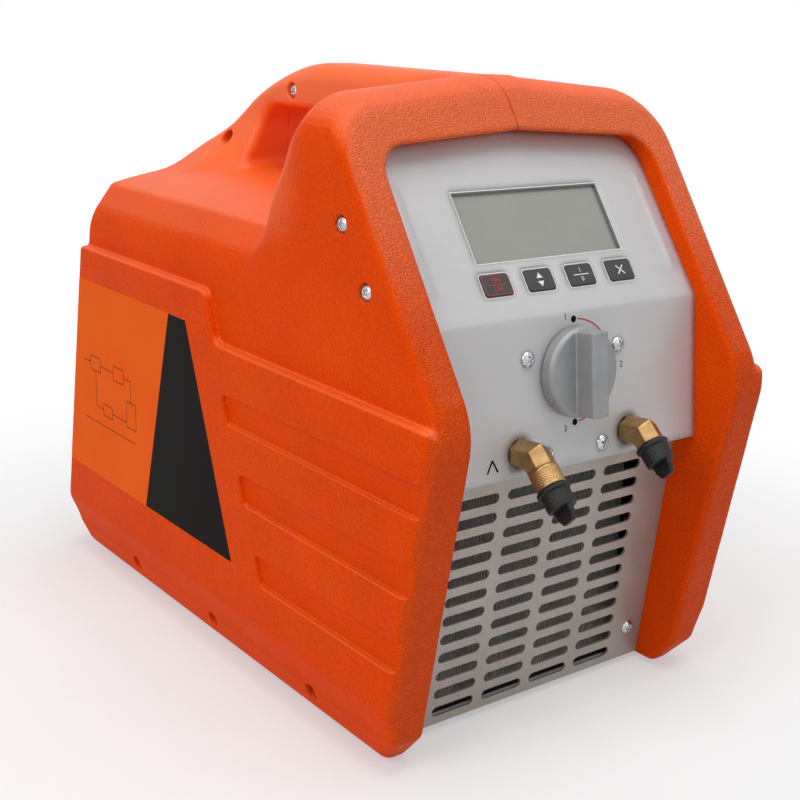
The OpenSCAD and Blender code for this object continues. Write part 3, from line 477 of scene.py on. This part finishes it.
def moulded_orange(name):
    """Moulded plastic: coarse grain with more gloss in front, finer on the sides, smooth on the deck and
    handle, and a painted sheen that lightens the colour where light falls.
    """
    m, t, b = shader(name)
    coord = node(t, "ShaderNodeTexCoord")
    place = coord.outputs["Object"]
    where = node(t, "ShaderNodeSeparateXYZ", [(place, "Vector")]).outputs
    facing = node(t, "ShaderNodeSeparateXYZ", [(coord.outputs["Normal"], "Vector")]).outputs

    # Masks in metres and directions: front faces, the smooth deck and handle, and what faces up
    front = combine(t, "MULTIPLY", carry(t, facing["Y"], -0.45, -0.75), carry(t, where["Y"], -0.08, -0.1))
    smooth = combine(t, "MULTIPLY", carry(t, where["Z"], 0.258, 0.3), carry(t, where["Y"], -0.1, -0.03))
    upward = carry(t, facing["Z"], 0.3, 0.8, 0.0, 0.7)
    high_front = combine(t, "MULTIPLY", front, carry(t, where["Z"], 0.2, 0.34, 0.2, 1.0))
    # Shine mask: where the colour gets painted light and sheen, and where the gloss is raised
    shine = combine(t, "MAXIMUM", combine(t, "MAXIMUM", high_front, smooth), upward)

    # Colour, painted lighter where the shine mask is high: painted sheen and painted light on faces that look
    # up, on the upper front and on the smooth deck and handle; the same mask also raises the gloss
    patches = node(t, "ShaderNodeTexNoise", [(place, "Vector")], Scale=16.0, Detail=4.0, Roughness=0.6)
    base_orange = ramp(t, patches.outputs["Fac"], srgb(226, 69, 3), srgb(234, 76, 5))
    painted_sheen_orange = ramp(t, patches.outputs["Fac"], srgb(240, 94, 14), srgb(247, 101, 18))
    colour = node(t, "ShaderNodeMix", [(shine, 0), (base_orange, 6), (painted_sheen_orange, 7)], data_type="RGBA").outputs[2]

    # Grain, in relief and as a little painted shade: darker in the pits of the grain and a touch lighter on
    # its tops
    cells = node(t, "ShaderNodeTexVoronoi", [(place, "Vector")], Scale=1000.0, feature="SMOOTH_F1",
                 Smoothness=0.2, Randomness=0.9)
    pebbles = carry(t, cells.outputs["Distance"], 0.1, 0.75, 1.0, 0.0)
    fine = node(t, "ShaderNodeTexNoise", [(place, "Vector")], Scale=700.0, Detail=2.0, Roughness=0.5)
    height = node(t, "ShaderNodeMix", [(front, "Factor"), (fine.outputs["Fac"], "A"), (pebbles, "B")],
                  data_type="FLOAT").outputs["Result"]
    # Painted shade and light of the grain, following its relief
    tone = carry(t, height, 0.32, 0.68, 0.9, 1.05)
    grained = carry(t, smooth, 0.0, 1.0, 1.0, 0.06)
    grain_pit_shade = node(t, "ShaderNodeHueSaturation", [(colour, "Color"), (tone, "Value"), (grained, "Fac")])
    t.links.new(grain_pit_shade.outputs["Color"], b.inputs["Base Color"])
    strength = carry(t, smooth, 0.0, 1.0, 0.9, 0.054)
    relief = node(t, "ShaderNodeBump", [(height, "Height"), (strength, "Strength")], Distance=0.0008)
    t.links.new(relief.outputs["Normal"], b.inputs["Normal"])
    t.links.new(carry(t, height, 0.2, 0.8, 0.42, 0.52), b.inputs["Roughness"])
    t.links.new(carry(t, shine, 0.0, 1.0, 0.03, 0.55), b.inputs["Specular IOR Level"])
    return m


# Slot: dark tone, light tone, roughness range and what differs from a plain plastic
FINISHES = {
    "label_print": ((238, 95, 24), (242, 100, 28), (0.4, 0.46),
                    dict(spot=30, grain=2500, bump=0.05, shine=0.01)),
    "sheet_steel": ((120, 121, 124), (142, 143, 146), (0.35, 0.5),
                    dict(metal=0.9, spot=60, grain=1500, bump=0.1)),
    "black_rubber": ((22, 22, 23), (34, 34, 35), (0.7, 0.85), dict(spot=90, grain=1800, bump=0.3)),
    "silver_panel": ((192, 192, 193), (199, 199, 200), (0.42, 0.5),
                     dict(metal=0.25, spot=18, grain=2600, bump=0.08, round_edge=0.007)),
    "grille_metal": ((160, 153, 146), (174, 167, 160), (0.38, 0.48),
                     dict(metal=0.4, spot=30, grain=2200, bump=0.1)),
    "display_glass": ((147, 148, 141), (157, 158, 151), (0.2, 0.26), dict(spot=12, grain=3000, bump=0.02)),
    "board": ((16, 70, 38), (22, 84, 46), (0.4, 0.5), dict(spot=120, grain=900, bump=0.1)),
    "brass": ((148, 116, 74), (178, 146, 100), (0.32, 0.44),
              dict(metal=1.0, spot=160, grain=1800, bump=0.12)),
    "key_rubber": ((48, 48, 50), (58, 58, 60), (0.5, 0.6), dict(spot=120, grain=2600, bump=0.15)),
    "knob_plastic": ((142, 144, 145), (154, 156, 157), (0.4, 0.5),
                     dict(metal=0.25, spot=60, grain=2600, bump=0.1)),
    "screw_steel": ((170, 172, 176), (205, 207, 210), (0.18, 0.3),
                    dict(metal=1.0, spot=260, grain=2600, bump=0.1)),
    "cast_aluminium": ((150, 151, 152), (172, 173, 174), (0.45, 0.6),
                       dict(metal=0.85, spot=60, grain=800, bump=0.35)),
    "black_plastic": ((20, 20, 21), (30, 30, 31), (0.4, 0.55),
                      dict(spot=80, grain=1600, bump=0.2, shine=0.3)),
    "fin_aluminium": ((176, 176, 172), (200, 200, 196), (0.4, 0.55),
                      dict(metal=0.3, spot=200, grain=1800, bump=0.1)),
    "copper": ((150, 86, 56), (186, 116, 80), (0.25, 0.4), dict(metal=1.0, spot=90, grain=1200, bump=0.1)),
    "motor_paint": ((50, 52, 55), (64, 66, 69), (0.4, 0.55), dict(spot=50, grain=900, bump=0.25)),
}
MATERIALS = {"orange_plastic": moulded_orange("orange_plastic")}
for slot, (dark, light, rough, others) in FINISHES.items():
    MATERIALS[slot] = surface_material(slot, dark, light, rough, **others)
for entry in frame["record"]["subparts"]:
    mesh = nodes[entry["node"]].data
    mesh.materials.clear()
    mesh.materials.append(MATERIALS[entry["material_slot"]])


def dress(obj, body, slot, replaced=(), material=None):
    """Material of a piece, taken from its slot unless one is given, the body that it hangs from, and the CAD
    nodes that it stands for, which are hidden.
    """
    obj.data.materials.append(material or MATERIALS[slot])
    if replaced:
        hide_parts(*replaced)
    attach(obj, body)
    return obj


# Shell halves
def grid(low, high, step, fine_at=()):
    """Even steps, with half steps near the named places."""
    out = [low]
    while out[-1] < high:
        near = any(abs(out[-1] - c) < 7 for c in fine_at)
        out.append(out[-1] + (step / 2 if near else step))
    return np.array(out)


step = 1.3
seam_steps = [-1.6, -0.5, 0.1, 0.45, 0.9, 1.4, 2.1, 3.0]
side_x = 115.0
screw_points = hood_screw_at + lower_screw_at + handle_screw_at
xs = np.concatenate([seam_steps, grid(seam_steps[-1] + step, side_x, step),
                     grid(side_x + 0.5 + step, half_w + 4, step / 2)])
ys = grid(nose_y - 4, rear_y + 4, step, [y for y, z in screw_points])
zs = grid(-2.0, hood_z + 4, step, [z for y, z in screw_points])
for name, sign in (("left_shell", -1), ("right_shell", 1)):
    points, quads = surface(shell_field(xs, ys, zs, sign < 0), xs, ys, zs)
    points[:, 0] *= sign
    if sign < 0:
        quads = quads[:, ::-1]
    dress(mesh_object(name + "_moulding", points, quads), "machine", "orange_plastic", [name])


# Small parts as fields in a local frame, in millimetres
def shaped(name, field, low, high, step, places, body, slot, replaced=()):
    """A smooth solid where the field is negative, repeated at each place."""
    step = step * 1
    axes = [np.arange(a - 2 * step, b + 2.5 * step, step) for a, b in zip(low, high)]
    X, Y, Z = np.meshgrid(*axes, indexing="ij", sparse=True)
    values = np.broadcast_to(field(X, Y, Z), [len(a) for a in axes]).astype(np.float32)
    points, quads = surface(values, *axes)
    all_points, all_quads = [], []
    for k, place in enumerate(places):
        m = np.array(place)
        flipped = np.linalg.det(m[:3, :3]) < 0
        all_points.append(points @ m[:3, :3].T + m[:3, 3] * 1000)
        all_quads.append((quads[:, ::-1] if flipped else quads) + k * len(points))
    obj = mesh_object(name, np.concatenate(all_points), np.concatenate(all_quads))
    return dress(obj, body, slot, replaced)


def rod(X, Y, Z, r, low, high, edge=0.3):
    return meet(np.hypot(X, Y) - r, layer(Z, low, high), edge)


def slab(X, Y, hx, hy, c):
    """Rectangle of half sizes hx and hy with corners of radius c."""
    qx, qy = np.abs(X) - hx + c, np.abs(Y) - hy + c
    return np.hypot(np.maximum(qx, 0), np.maximum(qy, 0)) + np.minimum(np.maximum(qx, qy), 0) - c


def hexagon(X, Y, across):
    a, b, c = (np.abs(X * math.cos(rad(turn)) + Y * math.sin(rad(turn))) for turn in (0, 60, -60))
    return np.maximum(a, np.maximum(b, c)) - across / 2


# Screws: domed heads with a tapered cross recess
def screw_field(length, d, head_d, head_h):
    ball = (head_d ** 2 / 4 + head_h ** 2) / (2 * head_h)
    arm = 0.27 * head_d

    def field(X, Y, Z):
        dome = np.sqrt(X * X + Y * Y + (Z - head_h + ball) ** 2) - ball
        head = meet(np.maximum(dome, -Z), np.hypot(X, Y) - head_d / 2, 0.25)
        blade = 0.06 * head_d + 0.16 * np.maximum(Z - 0.35 * head_h, 0)
        cross = np.minimum(np.maximum(np.abs(X) - blade, np.abs(Y) - arm),
                           np.maximum(np.abs(Y) - blade, np.abs(X) - arm))
        head = meet(head, -np.maximum(cross, 0.3 * head_h - Z), 0.2)
        return np.minimum(head, rod(X, Y, Z, d / 2, -length, 0.5, 0.4))
    return field


def screws(node_name, places, seed, length, d=5.0, head_d=9.4, head_h=2.8):
    """Screws at their places, each stopped at its own angle."""
    rng = np.random.default_rng(seed)
    places = [p @ Matrix.Rotation(rng.uniform(0, 1.5), 4, "Z") for p in places]
    low, high = (-head_d / 2, -head_d / 2, -length), (head_d / 2, head_d / 2, head_h)
    shaped(node_name + "_heads", screw_field(length, d, head_d, head_h), low, high, 0.34, places,
           "machine", "screw_steel", [node_name])


both_sides = (Matrix.Identity(4), Matrix.Scale(-1, 4, (1, 0, 0)))
face_right, face_left = (Matrix.Rotation(turn, 4, "Y") for turn in (math.pi / 2, -math.pi / 2))
panel_screw_at = [(33.45, 10.4), (-33.45, 10.4), (20.8, -43.3), (-20.8, -43.3)]
screws("panel_screws", [on_panel @ at(x, y, fit_gap) for x, y in panel_screw_at], 3, 12)
screws("grille_screws", [on_grille(25) @ at(x, 0, fit_gap) for x in (84, -84)], 4, 9)
screws("hood_screws", [side @ on_slope @ at(hood_seat_x, v, hood_screw_n) @ face_right
                       for v in hood_screw_v for side in both_sides], 5, upper_w - 87.5 + 2)
screws("handle_screws", [at(-handle_seat_x - 1, y, z) @ face_left for y, z in handle_screw_at],
       6, handle_seat_x + 10)
screws("lower_screws", [side @ at(lower_seat_x, y, z) @ face_right
                        for y, z in lower_screw_at for side in both_sides], 7, 10)
screws("rear_screws", [on_rear @ at(x, y, fit_gap) for x in (-88, 88) for y in (-63, 63)], 8, 8, 4, 8, 2.6)


# Function knob: a disc with a bevelled rim and a tall grip bar
knob_r, knob_disc_low, knob_disc_high, knob_rim, knob_top = 25.0, 0.8, 8.8, 6.8, 20.8
grip_half_w, grip_r, knob_bore_r, knob_bore_h = 6.5, 23.6, 4.0, 15.8


def knob_field(X, Y, Z):
    radius = np.hypot(X, Y)
    rim = radius - knob_r + np.maximum(Z - knob_rim, 0) * 0.75
    body = meet(rim, layer(Z, knob_disc_low, knob_disc_high), 0.7)
    bar = np.maximum(slab(X, Y, grip_half_w - 0.05 * (Z - knob_disc_high), knob_r + 1, 0.5), radius - grip_r)
    bar = meet(bar, layer(Z, 2, knob_top), 1.4)
    bore = np.maximum(radius - knob_bore_r, Z - knob_bore_h)
    return np.maximum(join(body, bar, 0.8), -bore)


shaped("knob_moulding", knob_field, (-knob_r, -knob_r, 0), (knob_r, knob_r, 21), 0.5, [on_panel],
       "knob", "knob_plastic", ["function_knob"])


# Ports: mitred hexagon elbow, threaded nose, knurled sleeve and ribbed caps with a wing
port_x, port_v, elbow_h, bend, hex_w = 40.6, -39.0, 13.0, rad(50), 14.6
thread_r, thread_depth, thread_pitch = 5.5, 0.35, 1.27
sleeve_r, sleeve_low, sleeve_high, knurl_low, knurl_high = 8.45, 7.5, 18.5, 9.3, 17.0
cap_r, cap_h, cap_ring_r, cap_ring_h, cap_wing_h = 8.25, 12.0, 9.5, 2.5, 20.0


def port_local(side):
    return on_panel @ at(port_x * side, port_v, elbow_h) @ Matrix.Rotation(bend, 4, "X")


def elbow_field(reach):
    def field(X, Y, Z):
        up = Z - elbow_h
        v, n = Y * math.cos(bend) + up * math.sin(bend), up * math.cos(bend) - Y * math.sin(bend)
        mitre = up * math.cos(bend / 2) - Y * math.sin(bend / 2)
        first = np.maximum(meet(hexagon(X, Y, hex_w), -Z, 0.5), mitre)
        second = np.maximum(meet(hexagon(X, v, hex_w), n - sleeve_low, 0.7), -mitre)
        ridge = thread_r - thread_depth * np.abs(((n / thread_pitch) % 1.0) * 2 - 1)
        thread = np.maximum(np.hypot(X, v) - ridge, layer(n, 0, reach))
        body = np.minimum(np.minimum(first, second), rod(X, Y, Z, 6, -15, 8))
        return np.minimum(body, thread)
    return field


def sleeve_field(X, Y, Z):
    turn = np.arctan2(Y, X)
    cut = np.maximum(np.cos(30 * turn + Z * 3.1), np.cos(30 * turn - Z * 3.1))
    knurl = np.where((Z > knurl_low) & (Z < knurl_high), 0.34 * (0.5 + 0.5 * cut), 0.1)
    outside = meet(np.hypot(X, Y) - sleeve_r + knurl, layer(Z, sleeve_low, sleeve_high), 0.7)
    return np.maximum(outside, thread_r + fit_gap - np.hypot(X, Y))


def cap_field(start):
    def field(X, Y, Z):
        z = Z - start
        radius, turn = np.hypot(X, Y), np.arctan2(Y, X)
        ribs = np.where((z > 3) & (z < 10.2), 0.22 * (0.5 - 0.5 * np.cos(36 * turn)), 0.22)
        body = meet(radius - cap_r + ribs, layer(z, 0, cap_h), 0.9)
        ring = meet(radius - cap_ring_r, layer(z, 0, cap_ring_h), 0.7)
        dish = np.maximum(radius - 5.6, cap_h - 1 - z)
        wing_half = 6.6 - 0.32 * np.maximum(z - 15, 0) ** 1.3
        wing = meet(slab(X, Y, 1.6, wing_half, 0.8), layer(z, 8, cap_wing_h), 0.6)
        solid = np.maximum(join(body, ring, 0.6), -dish)
        solid = join(solid, wing, 0.6)
        return np.maximum(solid, -np.maximum(radius - 5.58, z - 8.5))
    return field


for side, name, start in ((-1, "inlet", 18.9), (1, "outlet", 7.9)):
    shaped(name + "_elbow_forging", elbow_field(start + 7), (-8.6, -30, -15), (8.6, 9, 34), 0.5,
           [on_panel @ at(port_x * side, port_v, 0)], "machine", "brass", [name + "_elbow"])
    shaped(name + "_cap_moulding", cap_field(start), (-9.6, -9.6, start), (9.6, 9.6, start + cap_wing_h),
           0.34, [port_local(side)], name + "_cover", "black_plastic", [name + "_cap"])
shaped("inlet_sleeve_knurled", sleeve_field, (-8.6, -8.6, sleeve_low), (8.6, 8.6, sleeve_high), 0.24,
       [port_local(-1)], "machine", "brass", ["inlet_sleeve"])


# Condenser fins: a close pack of thin plates
fin_y, fin_z = (nose_y + 69.6, nose_y + 97.6), (12.0, 150.0)
fin_pitch, fin_half, fin_t = 2.1, 84.0, 0.4
box_faces = ((0, 1, 3, 2), (4, 6, 7, 5), (0, 4, 5, 1), (2, 3, 7, 6), (0, 2, 6, 4), (1, 5, 7, 3))
corners, plates = [], []
for i in range(int(2 * fin_half / fin_pitch) + 1):
    x = -fin_half + i * fin_pitch
    k = len(corners)
    corners += [(a, b, c) for a in (x, x + fin_t) for b in fin_y for c in fin_z]
    plates += [[k + j for j in face] for face in box_faces]
fin_pack = mesh_object("condenser_fin_pack", np.array(corners), np.array(plates), smooth=False)
dress(fin_pack, "machine", "fin_aluminium", ["condenser_fins"])


# Keys: soft-edged pads with a lip behind the panel
key_low, key_top, key_lip = -3.4, 0.9, -1.8
key_v, key_pitch = 20.4, 30.15


def key_field(X, Y, Z):
    pad = meet(slab(X, Y, 9.5, 6.2, 1.9), layer(Z, key_low, key_top), 0.35)
    return np.minimum(pad, meet(slab(X, Y, 11, 7.4, 1.9), layer(Z, key_low, key_lip), 0.3))


KEYS = ["start_key", "pressure_key", "units_key", "alarm_key"]
KEY_BODIES = ["start_button", "pressure_button", "units_button", "alarm_button"]
key_place = [on_slope @ at((i - 1.5) * key_pitch, key_v, 0) for i in range(4)]
for key, body, place in zip(KEYS, KEY_BODIES, key_place):
    shaped(key + "_pad", key_field, (-11, -7.4, key_low), (11, 7.4, key_top), 0.4, [place],
           body, "key_rubber", [key])


# Prints: ink a little above the faces
def ink(name, dark, light):
    return surface_material(name, dark, light, (0.45, 0.55), spot=400, grain=3000, bump=0.05, shine=0.03)


INK_BLACK = ink("ink_black", (20, 16, 16), (27, 22, 22))
INK_WHITE = ink("ink_white", (232, 232, 232), (240, 240, 240))
INK_RED = ink("ink_red", (196, 62, 44), (206, 72, 52))
# Grey: ink of the dial, and the painted shadow inside the display
GREY_INK_AND_SHADE = ink("grey_ink_and_painted_shade", (112, 112, 113), (122, 122, 123))
face_ink_z, key_ink_z, key_letter_z = 0.06, 0.94, 0.95


def box_outline(hx, hy, r):
    return [(-hx, -hy, r), (hx, -hy, r), (hx, hy, r), (-hx, hy, r)]


def border(outline, width):
    """Closed strip inside an outline."""
    p = rounded(outline, 6)
    a, b = np.roll(p, 1, 0), np.roll(p, -1, 0)
    t = (b - a) / np.linalg.norm(b - a, axis=1)[:, None]
    return (p, p + np.stack([-t[:, 1], t[:, 0]], 1) * width, True)


def disc(x, y, r, n=28):
    return [(x + r * math.cos(2 * math.pi * i / n), y + r * math.sin(2 * math.pi * i / n)) for i in range(n)]


def arc_strip(r0, r1, a0, a1, n=30):
    turn = [rad(a0 + (a1 - a0) * i / n) for i in range(n + 1)]
    ring = lambda r: [(r * math.cos(a), r * math.sin(a)) for a in turn]
    return (ring(r1), ring(r0), False)


def stroke(points, width):
    """A line of even width through the points."""
    p = np.array(points, float)
    t = np.gradient(p, axis=0)
    t /= np.linalg.norm(t, axis=1)[:, None]
    side = np.stack([-t[:, 1], t[:, 0]], 1) * width / 2
    return (p - side, p + side, False)


def put(name, mesh, place, body, material, slot):
    mesh.transform(place)
    mesh.update()
    obj = bpy.data.objects.new(name, mesh)
    scene.collection.objects.link(obj)
    return dress(obj, body, slot, (), material)


def print_mesh(name, loops, strips, place, body, material, slot, z=face_ink_z):
    """Flat marks of ink, and of painted shade: filled outlines and strips between two lines."""
    points, faces = [], []
    for loop in loops:
        n, k = len(loop), len(points)
        points += [(x, y, z) for x, y in loop]
        faces.append(list(range(k, k + n)))
    for outer, inner, closed in strips:
        n, k = len(outer), len(points)
        points += [(x, y, z) for x, y in outer] + [(x, y, z) for x, y in inner]
        for i in range(n if closed else n - 1):
            j = (i + 1) % n
            faces.append([k + i, k + j, k + n + j, k + n + i])
    mesh = bpy.data.meshes.new(name)
    mesh.from_pydata([Vector(p) / 1000 for p in points], [], faces)
    return put(name, mesh, place, body, material, slot)


def letters(name, words, size, place, body, material, slot):
    curve = bpy.data.curves.new(name, "FONT")
    curve.body, curve.size, curve.align_x, curve.align_y = words, size / 1000, "CENTER", "CENTER"
    text = bpy.data.objects.new(name + "_outline", curve)
    scene.collection.objects.link(text)
    mesh = bpy.data.meshes.new_from_object(text.evaluated_get(bpy.context.evaluated_depsgraph_get()))
    bpy.data.objects.remove(text)
    return put(name, mesh, place, body, material, slot)


# Dial and port marks on the panel
dial_r, dot_r, chevron_x, chevron_v, chevron_w, chevron_h = 28.3, 1.9, 59.5, -43.0, 3.6, 3.4
print_mesh("dial_dots", [disc(0, dial_r, dot_r), disc(0, -dial_r, dot_r)], [], on_panel, "machine",
           INK_BLACK, "silver_panel")
print_mesh("dial_close_dot", [disc(dial_r, 0, dot_r)], [], on_panel, "machine", GREY_INK_AND_SHADE, "silver_panel")
dial_arcs = [arc_strip(dial_r - 0.4, dial_r + 0.4, a, b) for a, b in ((5, 84), (-84, -5))]
print_mesh("dial_arc", [], dial_arcs, on_panel, "machine", INK_RED, "silver_panel")
for word, x, y in (("1", -6, 30), ("2", 36, -1), ("3", -7, -31)):
    letters("dial_number_" + word, word, 5.0, on_panel @ at(x, y, face_ink_z), "machine",
            INK_BLACK, "silver_panel")
for name, x, up in (("inlet_chevron", -chevron_x, chevron_h), ("outlet_chevron", chevron_x, -chevron_h)):
    tip = (x, chevron_v + up)
    left_end, right_end = (x - chevron_w, chevron_v - up), (x + chevron_w, chevron_v - up)
    print_mesh(name, [], [stroke([left_end, tip], 1.1), stroke([tip, right_end], 1.1)], on_panel, "machine",
               INK_BLACK, "silver_panel")


# Two-tone side print: a black field towards the front and a plain line drawing behind it
on_left = Matrix(((0, 0, -1, -half_w / 1000 + 0.0001), (-1, 0, 0, 0), (0, 1, 0, 0), (0, 0, 0, 1)))
field_margin, field_rear_y, field_narrowing = 0.7, nose_y + 302.6, 38.0
front_low_y, front_high_y = label_corners[0][0], label_corners[3][0]


def label_share(z):
    return (z - label_low) / (label_high - label_low)


def field_front(z):
    return (-front_low_y - label_share(z) * (front_high_y - front_low_y) - field_margin, z)


def field_rear(z):
    return (-field_rear_y + label_share(z) * field_narrowing, z)


field_low, field_high = label_low + field_margin, label_high - field_margin
label_field = [field_front(field_low), field_front(field_high), field_rear(field_high), field_rear(field_low)]
print_mesh("label_field", [label_field], [], on_left, "machine", INK_BLACK, "label_print")


def drawn(*points):
    return [stroke([(-a[0], a[1]), (-b[0], b[1])], 0.5) for a, b in zip(points, points[1:])]


def drawn_box(y, z, w, h):
    return drawn((y - w, z - h), (y + w, z - h), (y + w, z + h), (y - w, z + h), (y - w, z - h))


lines = drawn_box(164, 152, 8, 5) + drawn_box(128, 152, 8, 5) + drawn_box(110, 128, 7, 9)
lines += drawn_box(146, 122, 7, 4) + drawn((156, 152), (136, 152)) + drawn((120, 152), (110, 152), (110, 137))
lines += drawn((164, 147), (164, 122), (153, 122)) + drawn((139, 122), (117, 122))
lines += drawn((182, 152), (172, 152)) + drawn((104, 110), (184, 110))
print_mesh("label_drawing", [], lines, on_left, "machine", INK_BLACK, "label_print")


# Marks on and round the keys
for key, place in zip(KEYS, key_place):
    print_mesh(key + "_border", [], [border(box_outline(10.5, 7.2, 2.6), 0.62)], place, "machine",
               INK_WHITE, "silver_panel")


def key_mark(name, i, loops, strips, material):
    print_mesh(name, loops, strips, key_place[i], KEY_BODIES[i], material, "key_rubber", z=key_ink_z)


def key_letters(name, i, words, size, v, material):
    letters(name, words, size, key_place[i] @ at(0, v, key_letter_z), KEY_BODIES[i], material, "key_rubber")


key_bar = [(-5.6, 0), (5.6, 0)]
arrow_w, arrow_low, arrow_high, cross_r = 2.2, 0.9, 4.1, 2.6
key_mark("start_key_line", 0, [], [border(box_outline(9.0, 5.7, 1.6), 0.35), stroke(key_bar, 0.45)], INK_RED)
key_letters("start_key_on", 0, "ON", 3.6, 2.5, INK_RED)
key_letters("start_key_off", 0, "OFF", 3.6, -2.6, INK_RED)
key_mark("pressure_key_arrows", 1, [[(-arrow_w, arrow_low), (arrow_w, arrow_low), (0, arrow_high)],
                                    [(-arrow_w, -arrow_low), (0, -arrow_high), (arrow_w, -arrow_low)]], [],
         INK_WHITE)
key_mark("units_key_bar", 2, [], [stroke(key_bar, 0.5)], INK_WHITE)
key_letters("units_key_one", 2, "1", 3.8, 2.6, INK_WHITE)
key_letters("units_key_zero", 2, "0", 3.8, -2.7, INK_WHITE)
key_mark("alarm_key_cross", 3, [], [stroke([(-cross_r, -cross_r), (cross_r, cross_r)], 0.8),
                                    stroke([(-cross_r, cross_r), (cross_r, -cross_r)], 0.8)], INK_WHITE)


# Border of the display, and a painted shadow of the frame inside it at the top and the right
on_display = on_slope @ at(0, 54, 0)
glass_x, glass_v, shadow_x, shadow_v = 53.0, 20.8, 51.6, 19.9
print_mesh("display_border", [], [border(box_outline(53.6, 21.4, 0.6), 0.55)], on_display, "machine",
           INK_WHITE, "silver_panel")
top_painted_shadow = [(-glass_x, shadow_v), (shadow_x, shadow_v), (shadow_x, glass_v), (-glass_x, glass_v)]
right_painted_shadow = [(shadow_x, -glass_v), (glass_x, -glass_v), (glass_x, glass_v), (shadow_x, glass_v)]
# Grey strips painted as the frame's shadow on the glass
print_mesh("display_painted_shadow", [top_painted_shadow, right_painted_shadow], [], on_display, "machine", GREY_INK_AND_SHADE, "display_glass")


# Camera at the photograph's place, in metres
camera_at = Vector((-0.49729, -0.67639, 0.39351))
forward = Vector((0.58458091, 0.76257796, -0.27701989))
roll = rad(1.74)
level = forward.cross(Vector((0, 0, 1))).normalized()
upright = level.cross(forward)
right = level * math.cos(roll) + upright * math.sin(roll)
up = upright * math.cos(roll) - level * math.sin(roll)
camera = bpy.data.objects.new("camera", bpy.data.cameras.new("camera"))
scene.collection.objects.link(camera)
camera.matrix_world = Matrix((
    (right.x, up.x, -forward.x, camera_at.x), (right.y, up.y, -forward.y, camera_at.y),
    (right.z, up.z, -forward.z, camera_at.z), (0, 0, 0, 1)))
camera.data.sensor_width = 36
camera.data.lens = 60.17
camera.data.shift_x, camera.data.shift_y = -0.00804, -0.00541
scene.camera = camera


# Studio: pale floor, soft lamps, white world
def lamp(name, place, target, size, power):
    data = bpy.data.lights.new(name, "AREA")
    data.shape, data.size, data.energy = "DISK", size, power
    obj = bpy.data.objects.new(name, data)
    scene.collection.objects.link(obj)
    obj.location = place
    obj.rotation_euler = (Vector(target) - Vector(place)).to_track_quat("-Z", "Y").to_euler()


def seen_directly(tree):
    """1 for rays from the camera, a reflection or through glass, and 0 for the rest."""
    path = node(tree, "ShaderNodeLightPath").outputs
    seen = combine(tree, "MAXIMUM", path["Is Camera Ray"], path["Is Glossy Ray"])
    return combine(tree, "MAXIMUM", seen, path["Is Transmission Ray"])


lamp("left_lamp", (-1.9, -0.4, 1.5), (0, 0, 0.2), 1.4, 18)
lamp("front_lamp", (0.3, -2.0, 1.2), (0, -0.1, 0.25), 1.4, 3.5)
lamp("top_lamp", (0.0, -0.35, 2.2), (0, 0, 0.3), 1.6, 23)
world = bpy.data.worlds.new("studio")
scene.world = world
world.use_nodes = True
wt = world.node_tree
background = wt.nodes["Background"]
background.inputs["Color"].default_value = (1, 1, 1, 1)
world_strength = carry(wt, seen_directly(wt), 0.0, 1.0, 0.3, 1.0, kind="LINEAR")
wt.links.new(world_strength, background.inputs["Strength"])

# Floor: keeps the shadow near the object and fades to white away from it
floor_half, floor_z = 6.0, -0.0005
floor_mesh = bpy.data.meshes.new("floor")
floor_corners = [(-floor_half, -floor_half), (floor_half, -floor_half), (floor_half, floor_half),
                 (-floor_half, floor_half)]
floor_mesh.from_pydata([(x, y, floor_z) for x, y in floor_corners], [], [(0, 1, 2, 3)])
floor = bpy.data.objects.new("floor", floor_mesh)
scene.collection.objects.link(floor)
fm, ft, fb = shader("floor_white")
fb.inputs["Roughness"].default_value = 0.9
patches = node(ft, "ShaderNodeTexNoise", [(coords(ft), "Vector")], Scale=8.0)
pale = ramp(ft, patches.outputs["Fac"], (0.88, 0.88, 0.88), (0.92, 0.92, 0.92))
ft.links.new(pale, fb.inputs["Base Color"])
away = node(ft, "ShaderNodeVectorMath", [(coords(ft), 0)], operation="LENGTH").outputs["Value"]
fade = combine(ft, "MULTIPLY", seen_directly(ft), carry(ft, away, 0.2, 0.6, 0.4, 1.0))
glow = node(ft, "ShaderNodeEmission", Color=(1, 1, 1, 1), Strength=1.0)
mix = node(ft, "ShaderNodeMixShader", [(fade, 0), (fb.outputs[0], 1), (glow.outputs[0], 2)])
ft.links.new(mix.outputs[0], ft.nodes["Material Output"].inputs["Surface"])
floor_mesh.materials.append(fm)
